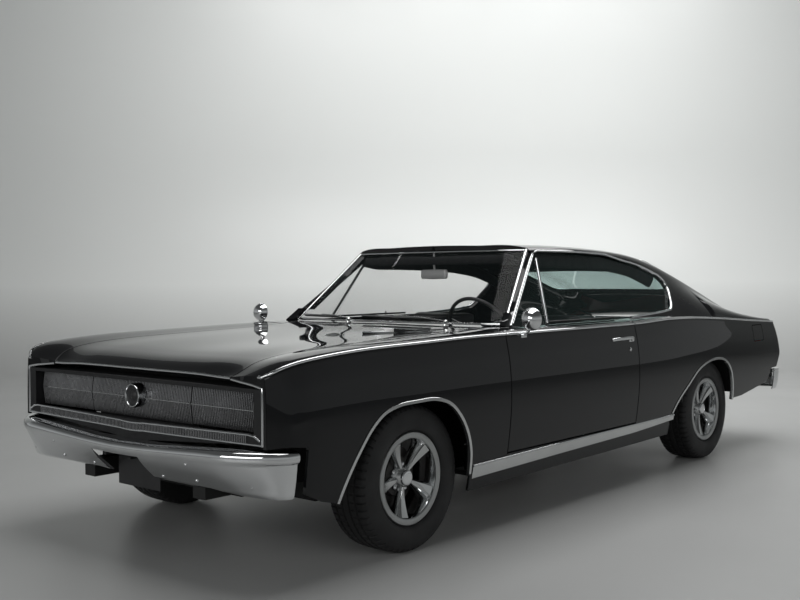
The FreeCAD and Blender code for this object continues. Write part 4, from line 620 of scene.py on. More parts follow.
def hood_outline():
    """Half of the hood, from its bowed lip to its rear edge."""
    lip = flowing([(-783, 0.01), (-788, 320), (-797, 560), (-803, HOOD_HALF - G)])
    front = [(lip[0][0], 2 * UNIT)] + by_x(SKIN_LOW, lip[1:])
    rear = by_x(SKIN_LOW, [(HOOD_REAR - 14, HOOD_HALF - G), (HOOD_REAR - 3, HOOD_HALF - 6),
                           (HOOD_REAR, HOOD_HALF - 18)])
    return front + rear + [(HOOD_REAR, 2 * UNIT)]


def cowl_outline():
    """Half of the cowl: behind the hood, between the doors, under the foot of the windshield."""
    rear = 812.0
    front = [(HOOD_REAR + 9, HOOD_HALF - 10), (HOOD_REAR - 10, HOOD_HALF + G), (DOOR_FRONT + G, HOOD_HALF + G)]
    side = [(DOOR_FRONT + G, 825), (648, 817), (659, 809), (673, 802), (930, 802)]
    foot = [(900, 760), (rear + 40, 700), (rear, 400)]
    return [(HOOD_REAR + 9, 2 * UNIT)] + by_x(SKIN_LOW, front + side + foot) + [(rear - 6, 2 * UNIT)]


WINDOW_REAR = ((2250, 1289), (2471, 1252), (2620, 1212), (2705, 1180), (2732, 1155), (2736, 1125), (2700, 1062),
               (2655, 1003), (2625, 982), (2561, 972), (2364, 958), (2100, 946))
ROOF_FRONT = ((1222, 10), (1226, 200), (1242, 430), (1266, 585))  # (station, half width) of the header
GLASS_HALF, GLASS_FRONT, GLASS_REAR = 560.0, 2690.0, 3430.0
LID_HALF, LID_FRONT, LID_REAR = 596.0, 3500.0, 4046.0


def roof_outline():
    """Half of the roof with its sail panel and the deck round the rear window."""
    header = by_x(SKIN_HIGH, flowing(ROOF_FRONT)[1:])
    rail = [(1288, 0.997 * UNIT), (1600, 0.997 * UNIT), (2050, 0.99 * UNIT)]
    window = by_z(SKIN_HIGH, flowing(WINDOW_REAR))
    foot = [(2100, 0.06 * UNIT), (3000, 0.06 * UNIT), (3600, 0.04 * UNIT), (LID_REAR, 0.03 * UNIT)]
    lid_side = by_x(SKIN_HIGH, [(LID_REAR, LID_HALF + G), (LID_FRONT + 24, LID_HALF + G), (LID_FRONT, LID_HALF - 20)])
    deck = [(LID_FRONT - 5, 2 * UNIT), (GLASS_REAR + 4, 2 * UNIT)]
    glass_rear = by_x(SKIN_HIGH, [(GLASS_REAR + 4, GLASS_HALF - 60), (GLASS_REAR - 14, GLASS_HALF - 14),
                                  (GLASS_REAR - 56, GLASS_HALF + 4)])
    glass_front = by_x(SKIN_HIGH, [(GLASS_FRONT + 56, GLASS_HALF + 4), (GLASS_FRONT + 14, GLASS_HALF - 14),
                                   (GLASS_FRONT - 4, GLASS_HALF - 60)])
    return ([(1222, 2 * UNIT)] + header + rail + window + foot + lid_side + deck + glass_rear + glass_front
            + [(GLASS_FRONT - 4, 2 * UNIT)])


def lid_outline():
    """Half of the trunk lid."""
    front = [(LID_FRONT + 5, LID_HALF - 26), (LID_FRONT + 12, LID_HALF - 8), (LID_FRONT + 30, LID_HALF - G)]
    side = by_x(SKIN_HIGH, front + [(LID_REAR, LID_HALF - G)])
    return [(LID_FRONT + 5, 2 * UNIT)] + side + [(LID_REAR, 2 * UNIT)]


def rear_glass_outline():
    """Half of the rear window, with its two corners rounded."""
    f, r, w = GLASS_FRONT + 2, GLASS_REAR - 2, GLASS_HALF - 2
    side = [(f, w - 58), (f + 16, w - 16), (f + 58, w), (r - 58, w), (r - 16, w - 16), (r, w - 58)]
    return [(f, 2 * UNIT)] + by_x(SKIN_HIGH, side) + [(r, 2 * UNIT)]


def both_sides(mesh):
    """A half panel and its mirror image, as one mesh."""
    return joined([mesh, mirrored_mesh(*mesh)])


fender = sheet_mesh(SKIN_LOW, fender_outline())
build("fender_left_skin", fender, PAINT, replaces=["fender_left"])
build("fender_right_skin", mirrored_mesh(*fender), PAINT, replaces=["fender_right"])
door = sheet_mesh(SKIN_LOW, door_outline(), depth=0.02)
build("door_left_skin", door, PAINT, body="door_left", replaces=["door_left"])
build("door_right_skin", mirrored_mesh(*door), PAINT, body="door_right", replaces=["door_right"])
FUEL = (3634.0, 3816.0, 733.0, 838.0)  # front and rear stations, bottom and top


def fuel_outline(grow):
    """The fuel door with cut corners, grown outward by some millimetres for its opening."""
    s0, s1, z0, z1 = FUEL[0] - grow, FUEL[1] + grow, FUEL[2] - grow, FUEL[3] + grow
    r = 14.0
    low = [(s0 + r, z0), (s1 - r, z0), (s1 - 4, z0 + 4), (s1, z0 + r), (s1, z1 - r), (s1 - 4, z1 - 4)]
    high = [(s1 - r, z1), (s0 + r, z1), (s0 + 4, z1 - 4), (s0, z1 - r), (s0, z0 + r), (s0 + 4, z0 + 4)]
    return by_z(SKIN_LOW, low + high)


quarter = sheet_mesh(SKIN_LOW, quarter_outline())
build("quarter_left_skin", sheet_mesh(SKIN_LOW, quarter_outline(), holes=[fuel_outline(5.0)]), PAINT,
      replaces=["quarter_left"])
build("quarter_right_skin", mirrored_mesh(*quarter), PAINT, replaces=["quarter_right"])
build("fuel_door_skin", sheet_mesh(SKIN_LOW, fuel_outline(0), depth=0.006), PAINT, body="fuel_door",
      replaces=["fuel_door"])
build("hood_skin", both_sides(sheet_mesh(SKIN_LOW, hood_outline())), PAINT, body="hood", replaces=["hood"], weld=True)
build("cowl_skin", both_sides(sheet_mesh(SKIN_LOW, cowl_outline(), depth=0.006, lift=0.0012)), PAINT, weld=True)
build("roof_skin", both_sides(sheet_mesh(SKIN_HIGH, roof_outline(), depth=0.026)), PAINT,
      replaces=["roof", "rear_deck"], weld=True)
build("trunk_lid_skin", both_sides(sheet_mesh(SKIN_HIGH, lid_outline())), PAINT, body="trunk_lid",
      replaces=["trunk_lid"], weld=True)
build("rear_window_glass", both_sides(sheet_mesh(SKIN_HIGH, rear_glass_outline(), depth=0.005, lift=-0.006)),
      REAR_GLASS, replaces=["rear_window"], weld=True)

# %% [markdown]
# Bright trims are rolled strips: one section drawn along a line. Round pieces are turned on a lathe.
# Both tools below give closed shapes, so every strip and ring has a real thickness.

# %% Strips and turned pieces
AXES = {"X": ((1, 0, 0), (0, 1, 0), (0, 0, 1)), "Y": ((0, 1, 0), (0, 0, 1), (1, 0, 0)),
        "Z": ((0, 0, 1), (1, 0, 0), (0, 1, 0))}


def lofted(rings, closed=False):
    """A closed shape through rings of points: its ends are capped, or it joins up with itself."""
    form = np.array(rings, float)
    n, m = form.shape[:2]
    polygons = [(i * m + k, (i + 1) % n * m + k, (i + 1) % n * m + (k + 1) % m, i * m + (k + 1) % m)
                for i in range(n if closed else n - 1) for k in range(m)]
    if not closed:
        polygons += [tuple(range(m)), tuple(range(n * m - 1, (n - 1) * m - 1, -1))]
    return form.reshape(-1, 3), None, polygons


def sweep(path, ups, section, closed=False):
    """A strip along a path, its section given as (across, out) pairs with out along the ups."""
    p = np.array(path, float)
    ahead = np.roll(p, -1, 0) - np.roll(p, 1, 0) if closed else np.gradient(p, axis=0)
    ahead /= np.linalg.norm(ahead, axis=1)[:, None] + 1e-12
    across = np.cross(ahead, np.array(ups, float) * np.ones((len(p), 3)))
    across /= np.linalg.norm(across, axis=1)[:, None] + 1e-12
    out, form = np.cross(across, ahead), np.array(section, float)
    return lofted(p[:, None] + across[:, None] * form[None, :, :1] + out[:, None] * form[None, :, 1:], closed)


def dome(width, height, sink=0.0015, steps=7):
    """Section of a half-round strip."""
    half = 0.5 * width
    arch = [(half * math.cos(a), height * math.sin(a)) for a in np.linspace(0, math.pi, steps)]
    return arch + [(-half, -sink), (half, -sink)]


def flat_bar(width, height, sink=0.001):
    """Section of a flat strip with small bevels."""
    h, b = 0.5 * width, min(0.0015, 0.3 * height)
    return [(h, -sink), (h, height - b), (h - b, height), (b - h, height), (-h, height - b), (-h, -sink)]


def along_skin(skin, line, lift=0.0):
    """Path and ups of a line on a skin."""
    s, climb = np.array([p[0] for p in line]), np.array([p[1] for p in line]) / UNIT
    up = normals_on(skin, s, climb)
    return on_skin(skin, s, climb) + up * lift, up


def rod(across, out, sides=14):
    """Section of a round or oval rod."""
    return [(across * math.cos(a), out * math.sin(a)) for a in np.linspace(0, 2 * math.pi, sides, endpoint=False)]


def turned(profile, centre, axis="X", sides=64, closed=False):
    """A piece turned about an axis: (along, radius) pairs in metres. A closed profile makes a ring."""
    a, u, v = (np.array(d, float) for d in AXES[axis])
    angles = np.linspace(0, 2 * math.pi, sides, endpoint=False)
    spin = np.cos(angles)[:, None] * u + np.sin(angles)[:, None] * v
    return lofted([np.array(centre) + along * a + radius * spin for along, radius in profile], closed)


def both_ways(half):
    """A line from the middle to the left, carried on to the right by its mirror image."""
    half = np.array(half, float)
    return np.concatenate([(half * [-1, 1, 1])[::-1], half[1:]])


def pair_of(name, mesh, material, bodies=("body", "body"), replaces=((), ())):
    """The left piece and its mirror image on the right."""
    for side, tag in enumerate(("left", "right")):
        part = mesh if side == 0 else mirrored_mesh(*mesh)
        build("%s_%s" % (name, tag), part, material, body=bodies[side], replaces=replaces[side])


def straight(a, b, count=8):
    """A straight line in equal steps."""
    return [tuple(np.array(a) + (np.array(b) - np.array(a)) * i / count) for i in range(count + 1)]


DOORS = ("door_left", "door_right")
print("strip section", len(dome(0.014, 0.005)), "points")

# %% [markdown]
# One bright moulding runs the whole length of the car along the belt, in three stretches a side.
# The middle stretch is pinned to the door, so it swings with it. Arch and sill mouldings finish the lower edges.

# %% Side mouldings
BELT = dome(0.0125, 0.005)
for name, a, b, bodies in (("belt_trim_fender", -822, DOOR_FRONT - G, ("body", "body")),
                           ("belt_trim_door", DOOR_FRONT + G, DOOR_REAR - G, DOORS),
                           ("belt_trim_quarter", DOOR_REAR + G, 4066, ("body", "body"))):
    line = [(s, UNIT) for s in np.linspace(a, b, 60)]
    if name == "belt_trim_fender":  # its front end hooks inward over the nose
        line = by_x(SKIN_LOW, [(-823, 812), (-824, 824), (-824, 833)]) + line[1:]
    path, up = along_skin(SKIN_LOW, line)
    pair_of(name, sweep(path, up, BELT), CHROME, bodies)


def offset_line(points, amount):
    """The same open line moved sideways, to its left."""
    p = np.array(points, float)
    ahead = np.gradient(p, axis=0)
    ahead /= np.linalg.norm(ahead, axis=1)[:, None]
    return p + np.stack([-ahead[:, 1], ahead[:, 0]], 1) * amount


for name, line in (("front_arch_trim", FRONT_OPENING), ("rear_arch_trim", REAR_OPENING)):
    path, up = along_skin(SKIN_LOW, by_z(SKIN_LOW, offset_line(line, 7.0)))
    pair_of(name, sweep(path, up, flat_bar(0.015, 0.004, sink=0.012)), BRIGHT)

rocker_line = by_z(SKIN_LOW, [(352, 215), (352, 284), (DOOR_FRONT, 352), (DOOR_REAR, 352), (2325, 331), (2345, 300),
                              (2345, 235)])
pair_of("rocker_skin", sheet_mesh(SKIN_LOW, rocker_line, depth=0.012, lift=0.0012), PAINT)
SILL = ((366, 272, 337), (1150, 288, 348), (1904, 301, 353), (2384, 322, 357))  # station, low and high edge
sill_low = by_z(SKIN_LOW, [(s, low) for s, low, high in SILL])
sill_high = by_z(SKIN_LOW, [(s, high) for s, low, high in SILL[::-1]])
pair_of("sill_panel", sheet_mesh(SKIN_LOW, sill_low + sill_high, depth=0.004, lift=0.0045), BRIGHT)
bead_line = by_z(SKIN_LOW, [(s, high - 5) for s, low, high in SILL])
path, up = along_skin(SKIN_LOW, flowing(bead_line, 30))
pair_of("sill_bead", sweep(path, up, dome(0.011, 0.008, sink=0.004)), CHROME)
print("side mouldings done")

# %% [markdown]
# The nose is a deep opening framed by a thin bright strip. Between the strip and the fender edge there is a
# black cap on each side, stamped as part of the fender extension. It is drawn as a sheet between two lines.

# %% Nose caps and the grille frame
FRAME_Y, FRAME_X, FRAME_TOP, FRAME_LOW = -2.478, 0.830, 0.786, 0.563
HOOD_CORNER = (0.637, -0.8055 + AXLE_Y, 0.808)


def between(outer, inner, back=0.004):
    """A thin sheet between two lines that have the same number of points."""
    a, b = np.array(outer), np.array(inner)
    n = len(a)
    points = np.concatenate([a, b, a + [0, back, 0], b + [0, back, 0]])
    polygons = []
    for i in range(n - 1):
        polygons += [(i, i + 1, n + i + 1, n + i), (3 * n + i, 3 * n + i + 1, 2 * n + i + 1, 2 * n + i),
                     (i + 1, i, 2 * n + i, 2 * n + i + 1), (n + i, n + i + 1, 3 * n + i + 1, 3 * n + i)]
    return points, None, polygons + [(0, n, 3 * n, 2 * n), (n - 1, 3 * n - 1, 4 * n - 1, 2 * n - 1)]


nose_top = along_skin(SKIN_LOW, by_x(SKIN_LOW, flowing(FENDER_NOSE)[::-1]) + [(-823, UNIT)])[0]
side_line = [(-823, UNIT)] + by_z(SKIN_LOW, [(-823, z) for z in (800, 740, 660, 553)])
nose_side = along_skin(SKIN_LOW, side_line)[0]
cap_corner = (FRAME_X + 0.004, FRAME_Y + 0.002, FRAME_TOP)
cap_top = [HOOD_CORNER, (0.70, FRAME_Y + 0.012, 0.802), (0.77, FRAME_Y + 0.006, 0.796), cap_corner]
cap_side = [cap_corner, (FRAME_X + 0.004, FRAME_Y + 0.002, 0.553)]
outer = np.concatenate([evenly(nose_top, 20), evenly(nose_side, 14)[1:]])
inner = np.concatenate([evenly(cap_top, 20), evenly(cap_side, 14)[1:]])
pair_of("nose_cap", between(outer - [0, 0.001, 0], inner), PAINT)

lip_line = by_x(SKIN_LOW, flowing([(-783, 0.01), (-788, 320), (-797, 560), (-803, HOOD_HALF - G)], 20))
lip = along_skin(SKIN_LOW, lip_line)[0] + [0, -0.001, -0.007]
lip = both_ways(lip)
build("hood_lip_trim", sweep(lip, (0, -0.9, 0.44), dome(0.011, 0.005, sink=0.004)), CHROME, body="hood")
frame_line = evenly(np.array(cap_top) + [0, -0.001, -0.004], 24)
frame_line = np.concatenate([frame_line, evenly([frame_line[-1], (FRAME_X + 0.004, FRAME_Y, FRAME_LOW)], 12)[1:]])
pair_of("frame_strip", sweep(frame_line, (0, -1, 0.05), dome(0.011, 0.005, sink=0.006)), CHROME)


def vee(x0, z_middle, z_end, x_end, end=()):
    """A shallow V across the nose, as points from the right to the left."""
    middle = [(0.0, FRAME_Y, z_middle), (x0, FRAME_Y, z_middle + 0.002)]
    return both_ways(middle + straight((x0 + 0.02, FRAME_Y, z_middle + 0.004), (x_end, FRAME_Y, z_end)) + list(end))


LINE = dome(0.0095, 0.0055, sink=0.004)
upper_vee = vee(0.06, 0.583, 0.601, 0.757, [(0.79, FRAME_Y, 0.597), (0.822, FRAME_Y, 0.581)])
build("grille_line_upper", sweep(upper_vee, (0, -1, 0), LINE), CHROME)
build("grille_line_lower", sweep(vee(0.06, 0.550, 0.566, FRAME_X), (0, -1, 0), LINE), CHROME)
backing = []
for x in np.arange(-0.735, 0.7351, 0.0105):
    low, high = 0.551 + 0.0209 * max(abs(x) - 0.06, 0), 0.583 + 0.0258 * max(abs(x) - 0.06, 0)
    backing.append(sweep([(x, FRAME_Y + 0.0015, low), (x, FRAME_Y + 0.0015, high)], (0, -1, 0),
                         flat_bar(0.0042, 0.002, sink=0.001)))
build("lower_comb", joined(backing), BAR)
print("nose frame", lip.shape, "points along the hood lip")

# %% [markdown]
# The grille is a comb of thin upright bars, bent to a shallow V seen from the side. The middle part is fixed.
# The outer thirds are doors: they turn over on a cross shaft and bring the round lamps to the front.

# %% Grille and headlamp doors
GRILLE_LOW, GRILLE_HIGH, GRILLE_FACE, FOLD_Z = 0.602, 0.757, -2.444, 0.687
PITCH, POD_IN, POD_OUT = 0.0105, 0.360, 0.777
POD_AXIS = (GRILLE_FACE + 0.025, 0.679)


def comb(x0, x1):
    """Upright bars from x0 to x1, highest at the fold and set back at both ends."""
    count = int(round((x1 - x0) / PITCH))
    bar = [(0.0023, -0.008), (0.0023, -0.002), (0.0012, 0.0), (-0.0012, 0.0), (-0.0023, -0.002), (-0.0023, -0.008)]
    line = [(GRILLE_LOW + 0.002, 0.011), (FOLD_Z - 0.006, 0.002), (FOLD_Z, 0.0012), (FOLD_Z + 0.006, 0.002),
            (GRILLE_HIGH - 0.002, 0.010)]  # (height, back)
    bars = []
    for i in range(count):
        x = x0 + (x1 - x0) * (i + 0.5) / count
        bars.append(sweep([(x, GRILLE_FACE + back, z) for z, back in line], (0, -1, 0), bar))
    return joined(bars)


def slab(x0, x1, y0, y1, z0, z1, bevel=0.002):
    """A plate with its front and back edges bevelled."""
    rings = []
    for y, b in ((y0, bevel), (y0 + bevel, 0), (y1 - bevel, 0), (y1, bevel)):
        rings += [(x0 + b, y, z0 + b), (x1 - b, y, z0 + b), (x1 - b, y, z1 - b), (x0 + b, y, z1 - b)]
    polygons = [(0, 1, 2, 3), (15, 14, 13, 12)]
    polygons += [(r * 4 + k, r * 4 + 4 + k, r * 4 + 4 + (k + 1) % 4, r * 4 + (k + 1) % 4) for r in range(3)
                 for k in range(4)]
    return np.array(rings), None, polygons


middle_bars = comb(-0.355, 0.355)
build("grille_bars", middle_bars, BAR, replaces=["grille"])
build("grille_back", slab(-0.354, 0.354, GRILLE_FACE + 0.014, GRILLE_FACE + 0.020, 0.598, 0.762), DARK)
fold = sweep(straight((-0.354, GRILLE_FACE, FOLD_Z), (0.354, GRILLE_FACE, FOLD_Z), 2), (0, -1, 0),
             dome(0.003, 0.001, sink=0.003, steps=5))
build("grille_fold_line", fold, BRIGHT)
RING_AT = (0, GRILLE_FACE - 0.026, 0.698)
ring = turned([(0.036, 0.052), (-0.004, 0.052), (-0.009, 0.0495), (-0.009, 0.045), (-0.003, 0.042), (0.036, 0.042)],
              RING_AT, "Y", 56, closed=True)
build("emblem_ring", ring, CHROME)
dish = turned([(0.012, 0.0415), (0.0, 0.0415), (0.001, 0.034), (0.003, 0.022), (-0.002, 0.016), (-0.005, 0.008),
               (-0.006, 0.001)],
              RING_AT, "Y", 40)
build("emblem_dish", dish, TRIM_BLACK)
LAMP_X = (0.465, 0.672)
pod_back = slab(POD_IN, POD_OUT, GRILLE_FACE + 0.012, POD_AXIS[0] + 0.016, GRILLE_LOW + 0.002, GRILLE_HIGH - 0.002)
shaft = turned([(-0.025, 0.006), (0.442, 0.006)], (POD_IN, *POD_AXIS), "X", 16)
bezels, lenses = [], []
for x in LAMP_X:
    face = (x, POD_AXIS[0] + 0.022, POD_AXIS[1])
    bezels.append(turned([(-0.008, 0.073), (0.006, 0.073), (0.009, 0.070), (0.008, 0.066), (0.0, 0.064),
                          (-0.008, 0.064)], face, "Y", 48, closed=True))
    lenses.append(turned([(-0.008, 0.064), (0.0, 0.064), (0.004, 0.05), (0.007, 0.03), (0.008, 0.002)], face, "Y", 40))
PODS = ("headlamp_pod_left", "headlamp_pod_right")
pair_of("pod_back", joined([pod_back, shaft]), DARK, PODS, replaces=((PODS[0],), (PODS[1],)))
pair_of("pod_bars", comb(POD_IN + 0.001, POD_OUT - 0.001), BAR, PODS)
pair_of("pod_fold_line", sweep(straight((POD_IN + 0.001, GRILLE_FACE, FOLD_Z), (POD_OUT, GRILLE_FACE, FOLD_Z), 2),
                               (0, -1, 0),
        dome(0.003, 0.001, sink=0.003, steps=5)), BRIGHT, PODS)
pair_of("lamp_bezels", joined(bezels), CHROME, PODS)
pair_of("lamp_lenses", joined(lenses), LENS, PODS)
print("grille bars", len(middle_bars[2]), "faces")

# %% [markdown]
# The bumpers are pressed from one thick sheet, then polished and plated. The face leans back under the car,
# and the ends wrap round to the sides. A smooth section is set square to the plan line at many places.

# %% Bumpers
# A face is (out, height). A plan is (x, y, direction in degrees, drop). Lengths are in millimetres.
FRONT_FACE = ((0, 546), (60, 548), (104, 547), (126, 541), (136, 529), (137, 512), (128, 492), (96, 440), (58, 394),
              (34, 369), (12, 358))
FRONT_PLAN = ((0, -2447.5, 0, 30), (180, -2447.5, 0, 26), (360, -2447.5, 0, 17), (560, -2447, 0, 6),
              (640, -2445, 2, 2), (694, -2433, 12, 0), (736, -2410, 28, 0), (762, -2396, 45, 0),
              (780, -2390, 60, 0), (790, -2388, 74, 0), (794, -2386, 85, 0), (795, -2378, 90, 0))
REAR_FACE = ((0, 514), (60, 516), (96, 515), (116, 511), (125, 502), (126, 490), (118, 466), (104, 430), (80, 394),
             (62, 376), (40, 366))
REAR_PLAN = ((0, 2457.5, 180, 0), (400, 2456, 180, 0), (700, 2450, 180, 0), (770, 2447, 176, 0),
             (788, 2441, 158, 0), (797, 2430, 136, 0), (802, 2416, 112, 0), (803, 2396, 98, 0), (802, 2345, 90, 0))
NOTCH_TOP = 484.0  # height of the plate notch before the middle of the bar drops


def bumper(face, plan, notch=0.0):
    """Bumper skin with thickness: half the plan is drawn and mirrored. A notch lifts the lower edge at the middle."""
    front = run_of([[p] for p in np.array(face, float)], 44)[:, 0]
    plan = np.array(plan, float)
    t = np.concatenate([[0], np.cumsum(np.linalg.norm(np.diff(plan[:, :2], axis=0), axis=1))])
    marks = np.unique(np.concatenate([np.linspace(0, t[-1], 70), t, [notch - 0.4, notch + 0.4] if notch else []]))
    half = np.stack([through(t, plan[:, c], marks) for c in range(4)], 1)
    whole = np.concatenate([(half * [-1, 1, -1, 1])[:0:-1], half])
    rings = []
    for x, y, angle, drop in whole:
        a = math.radians(angle)
        out = np.array([math.sin(a), -math.cos(a)])
        flare = 0.8 * min(1.0, abs(math.sin(a)))
        o, z = front[:, 0].copy(), front[:, 1].copy()
        o = np.where(z < 500, o + flare * (120 - o), o)
        if notch and abs(x) < notch:
            cut_out = np.interp(-NOTCH_TOP, -front[12:, 1], front[12:, 0])
            o, z = np.where(z < NOTCH_TOP, cut_out, o), np.maximum(z, NOTCH_TOP)
        z = z - drop * (z - 365) / 175
        inward = np.stack([np.gradient(z), -np.gradient(o)], 1)
        inward /= np.linalg.norm(inward, axis=1)[:, None] + 1e-9
        back = np.stack([o, z], 1) + inward * 5.0
        loop = np.concatenate([np.stack([o, z], 1), back[::-1]])
        rings.append(np.stack([x + out[0] * loop[:, 0], y + out[1] * loop[:, 0], loop[:, 1]], 1) / 1000)
    return lofted(rings)


build("front_bumper_face", bumper(FRONT_FACE, FRONT_PLAN, 168.0), CHROME, replaces=["front_bumper"])
build("rear_bumper_face", bumper(REAR_FACE, REAR_PLAN), CHROME, replaces=["rear_bumper"])
bolts = []
for x, z, back in ((0.48, 470, -3), (0.48, 398, -3), (0.25, 388, -3), (0.790, 466, 56), (0.776, 402, 30)):
    out = np.interp(-z, [-512, -440, -369, -358], [137, 96, 34, 12]) - back
    for side in (-1, 1):
        centre = (side * x, (-2447.5 - out) / 1000, z / 1000)
        bolts.append(turned([(0.004, 0.0085), (-0.001, 0.0085), (-0.004, 0.007), (-0.006, 0.004), (-0.0065, 0.0005)],
                            centre, "Y", 16))
build("bumper_bolts", joined(bolts), CHROME)
build("blank_plate", slab(-0.150, 0.150, -2.447, -2.441, 0.300, 0.462, bevel=0.002), TRIM_BLACK)
arms = [slab(side * 0.395 - 0.03, side * 0.395 + 0.03, -2.492, -2.436, 0.40, 0.452) for side in (-1, 1)]
arms += [slab(side * 0.089 - 0.009, side * 0.089 + 0.009, -2.556, -2.500, 0.446, 0.458) for side in (-1, 1)]
build("bumper_arms", joined(arms), UNDER)

# %% [markdown]
# The windshield is one bowed sheet, set in rubber under a bright moulding: wide on the pillars, thin above and below.
# The pillar beside it is a closed steel section between the glass edge and the front edge of the side window.

# %% Windshield and pillars
SHIELD_LOW = (0.951, 0.7415, -0.782, -0.846)  # height, edge x, edge y, middle y of the outer face
SHIELD_HIGH = (1.331, 0.6045, -0.385, -0.440)


def shield_level(z):
    """Edge x, edge y and middle y of the windshield at a height."""
    share = (z - SHIELD_LOW[0]) / (SHIELD_HIGH[0] - SHIELD_LOW[0])
    return [a + share * (b - a) for a, b in zip(SHIELD_LOW[1:], SHIELD_HIGH[1:])]


def on_shield(x, z, lift=0.0):
    """A point of the windshield's outer face, and its outward normal."""
    edge_x, edge_y, middle_y = shield_level(z)
    bow = (edge_y - middle_y) / edge_x**2
    lean = (SHIELD_HIGH[3] - SHIELD_LOW[3]) / (SHIELD_HIGH[0] - SHIELD_LOW[0])
    up = np.array([2 * bow * x, -1.0, lean])
    up /= np.linalg.norm(up)
    return np.array([x, middle_y + bow * x * x, z]) + up * lift, up


def sheet_of(rows, ups, depth):
    """A closed sheet over a grid of points, given thickness against its outward normals."""
    front, up = np.array(rows), np.array(ups)
    m, n = front.shape[:2]
    points = np.concatenate([front.reshape(-1, 3), (front - up * depth).reshape(-1, 3)])
    polygons = []
    for i in range(m - 1):
        for j in range(n - 1):
            q = (i * n + j, i * n + j + 1, (i + 1) * n + j + 1, (i + 1) * n + j)
            polygons += [q, tuple(m * n + v for v in q[::-1])]
    rim = list(range(n)) + [i * n + n - 1 for i in range(1, m)]
    rim += [(m - 1) * n + j for j in range(n - 2, -1, -1)] + [i * n for i in range(m - 2, 0, -1)]
    polygons += [(rim[(k + 1) % len(rim)], rim[k], m * n + rim[k], m * n + rim[(k + 1) % len(rim)])
                 for k in range(len(rim))]
    return points, None, polygons


heights = np.linspace(0.936, 1.333, 14)
spots = [[on_shield(x, z) for x in np.linspace(-1, 1, 33) * (shield_level(z)[0])] for z in heights]
glass_sheet = sheet_of([[p for p, up in row] for row in spots], [[up for p, up in row] for row in spots], 0.005)
build("windshield_glass", glass_sheet, WINDSHIELD_GLASS, replaces=["windshield"])
EDGE_STEP = 0.007
pillar_trim = [on_shield(shield_level(z)[0] + EDGE_STEP, z, 0.001) for z in np.linspace(0.945, 1.338, 16)]
pair_of("windshield_side_trim", sweep([p for p, up in pillar_trim], [up for p, up in pillar_trim],
                                      dome(0.019, 0.006)), CHROME)
for name, z, width in (("windshield_top_trim", 1.336, 0.011), ("windshield_low_trim", 0.952, 0.012)):
    reach = shield_level(z)[0] + EDGE_STEP
    line = [on_shield(x, z, 0.001) for x in np.linspace(-reach, reach, 41)]
    build(name, sweep([p for p, up in line], [up for p, up in line], dome(width, 0.005)), CHROME)

SIDE_UP = np.array([1.0, 0.0, 0.475]) / math.hypot(1.0, 0.475)


def on_side(s, z, lift=0.0):
    """A point in the leaning plane of the side glass, from a station in millimetres and a height."""
    return np.array([0.800 - 0.475 * (z - 0.930), s / 1000 + AXLE_Y, z]) + SIDE_UP * lift


WINDOW_FRONT = ((858, 0.945), (1331, 1.330))
rings = []
for t in np.linspace(-0.05, 1.03, 14):
    z = SHIELD_LOW[0] + t * (SHIELD_HIGH[0] - SHIELD_LOW[0])
    a = on_shield(shield_level(z)[0] + 0.004, z, -0.003)[0]
    b = on_side(*[WINDOW_FRONT[0][k] + t * (WINDOW_FRONT[1][k] - WINDOW_FRONT[0][k]) for k in (0, 1)], 0.002)
    out = np.cross(b - a, np.array([-0.137, 0.4, 0.38]))
    out *= (1 if out[0] > 0 else -1) / np.linalg.norm(out)
    rings.append([a, a + 0.25 * (b - a) + out * 0.009, a + 0.75 * (b - a) + out * 0.010, b, b - out * 0.03,
                  a - out * 0.03])
pair_of("windshield_pillar", lofted(rings), PAINT)
print("windshield", len(glass_sheet[2]), "faces")

# %% [markdown]
# A drip rail climbs the pillar and follows the roof edge. Behind the side glass it widens into a bright moulding
# that turns round the end of the window. The vent window's frame is on the door, so it swings with it.

# %% Drip rail and window mouldings
rail = [on_side(WINDOW_FRONT[0][0] + t * 473 - 2, WINDOW_FRONT[0][1] + t * 0.385, 0.006)
        for t in np.linspace(0.0, 0.97, 16)]
rail_up = [SIDE_UP] * len(rail)
roof_line = along_skin(SKIN_HIGH, [(s, UNIT * 1.0) for s in np.linspace(1345, 2080, 26)], 0.002)
behind = along_skin(SKIN_HIGH, by_z(SKIN_HIGH, flowing(WINDOW_REAR[:5], 16)), 0.002)
rail = np.concatenate([rail, roof_line[0], behind[0][2:]])
rail_up = np.concatenate([rail_up, roof_line[1], behind[1][2:]])
pair_of("drip_rail", sweep(rail, rail_up, dome(0.012, 0.007, sink=0.004)), CHROME)
around = along_skin(SKIN_HIGH, by_z(SKIN_HIGH, flowing(WINDOW_REAR[1:], 12)), 0.001)
pair_of("window_end_moulding", sweep(around[0], around[1], dome(0.017, 0.009, sink=0.006)), CHROME)
front_bar = [on_side(s, z, 0.003) for s, z in ((884, 0.955), (1100, 1.131), (1325, 1.314))]
rear_bar = [on_side(s, z, 0.003) for s, z in ((1197, 0.945), (1268, 1.117), (1339, 1.290))]
for name, line, width in (("vent_front_bar", front_bar, 0.011), ("vent_rear_bar", rear_bar, 0.014)):
    pair_of(name, sweep(evenly(line, 14), SIDE_UP, dome(width, 0.007, sink=0.006)), CHROME, DOORS)
glass_edge = [on_side(s, z, 0.001) for s, z in ((1215, 0.953), (1904, 0.953))]
pair_of("door_glass_seal", sweep(straight(*glass_edge, 10), SIDE_UP, dome(0.012, 0.005)), SEAL, DOORS)
print("drip rail", len(rail), "points")

# %% [markdown]
# The wheels are cast centres in rolled rims: a satin ring outside, a polished barrel, five spokes that widen
# towards the rim with a raised middle facet, a small cap, and the nuts between the spokes.

# %% Wheels
WHEEL_X, BARREL = 0.767, 0.166
SPOKES, SPOKE_TURN = 5, math.radians(26)
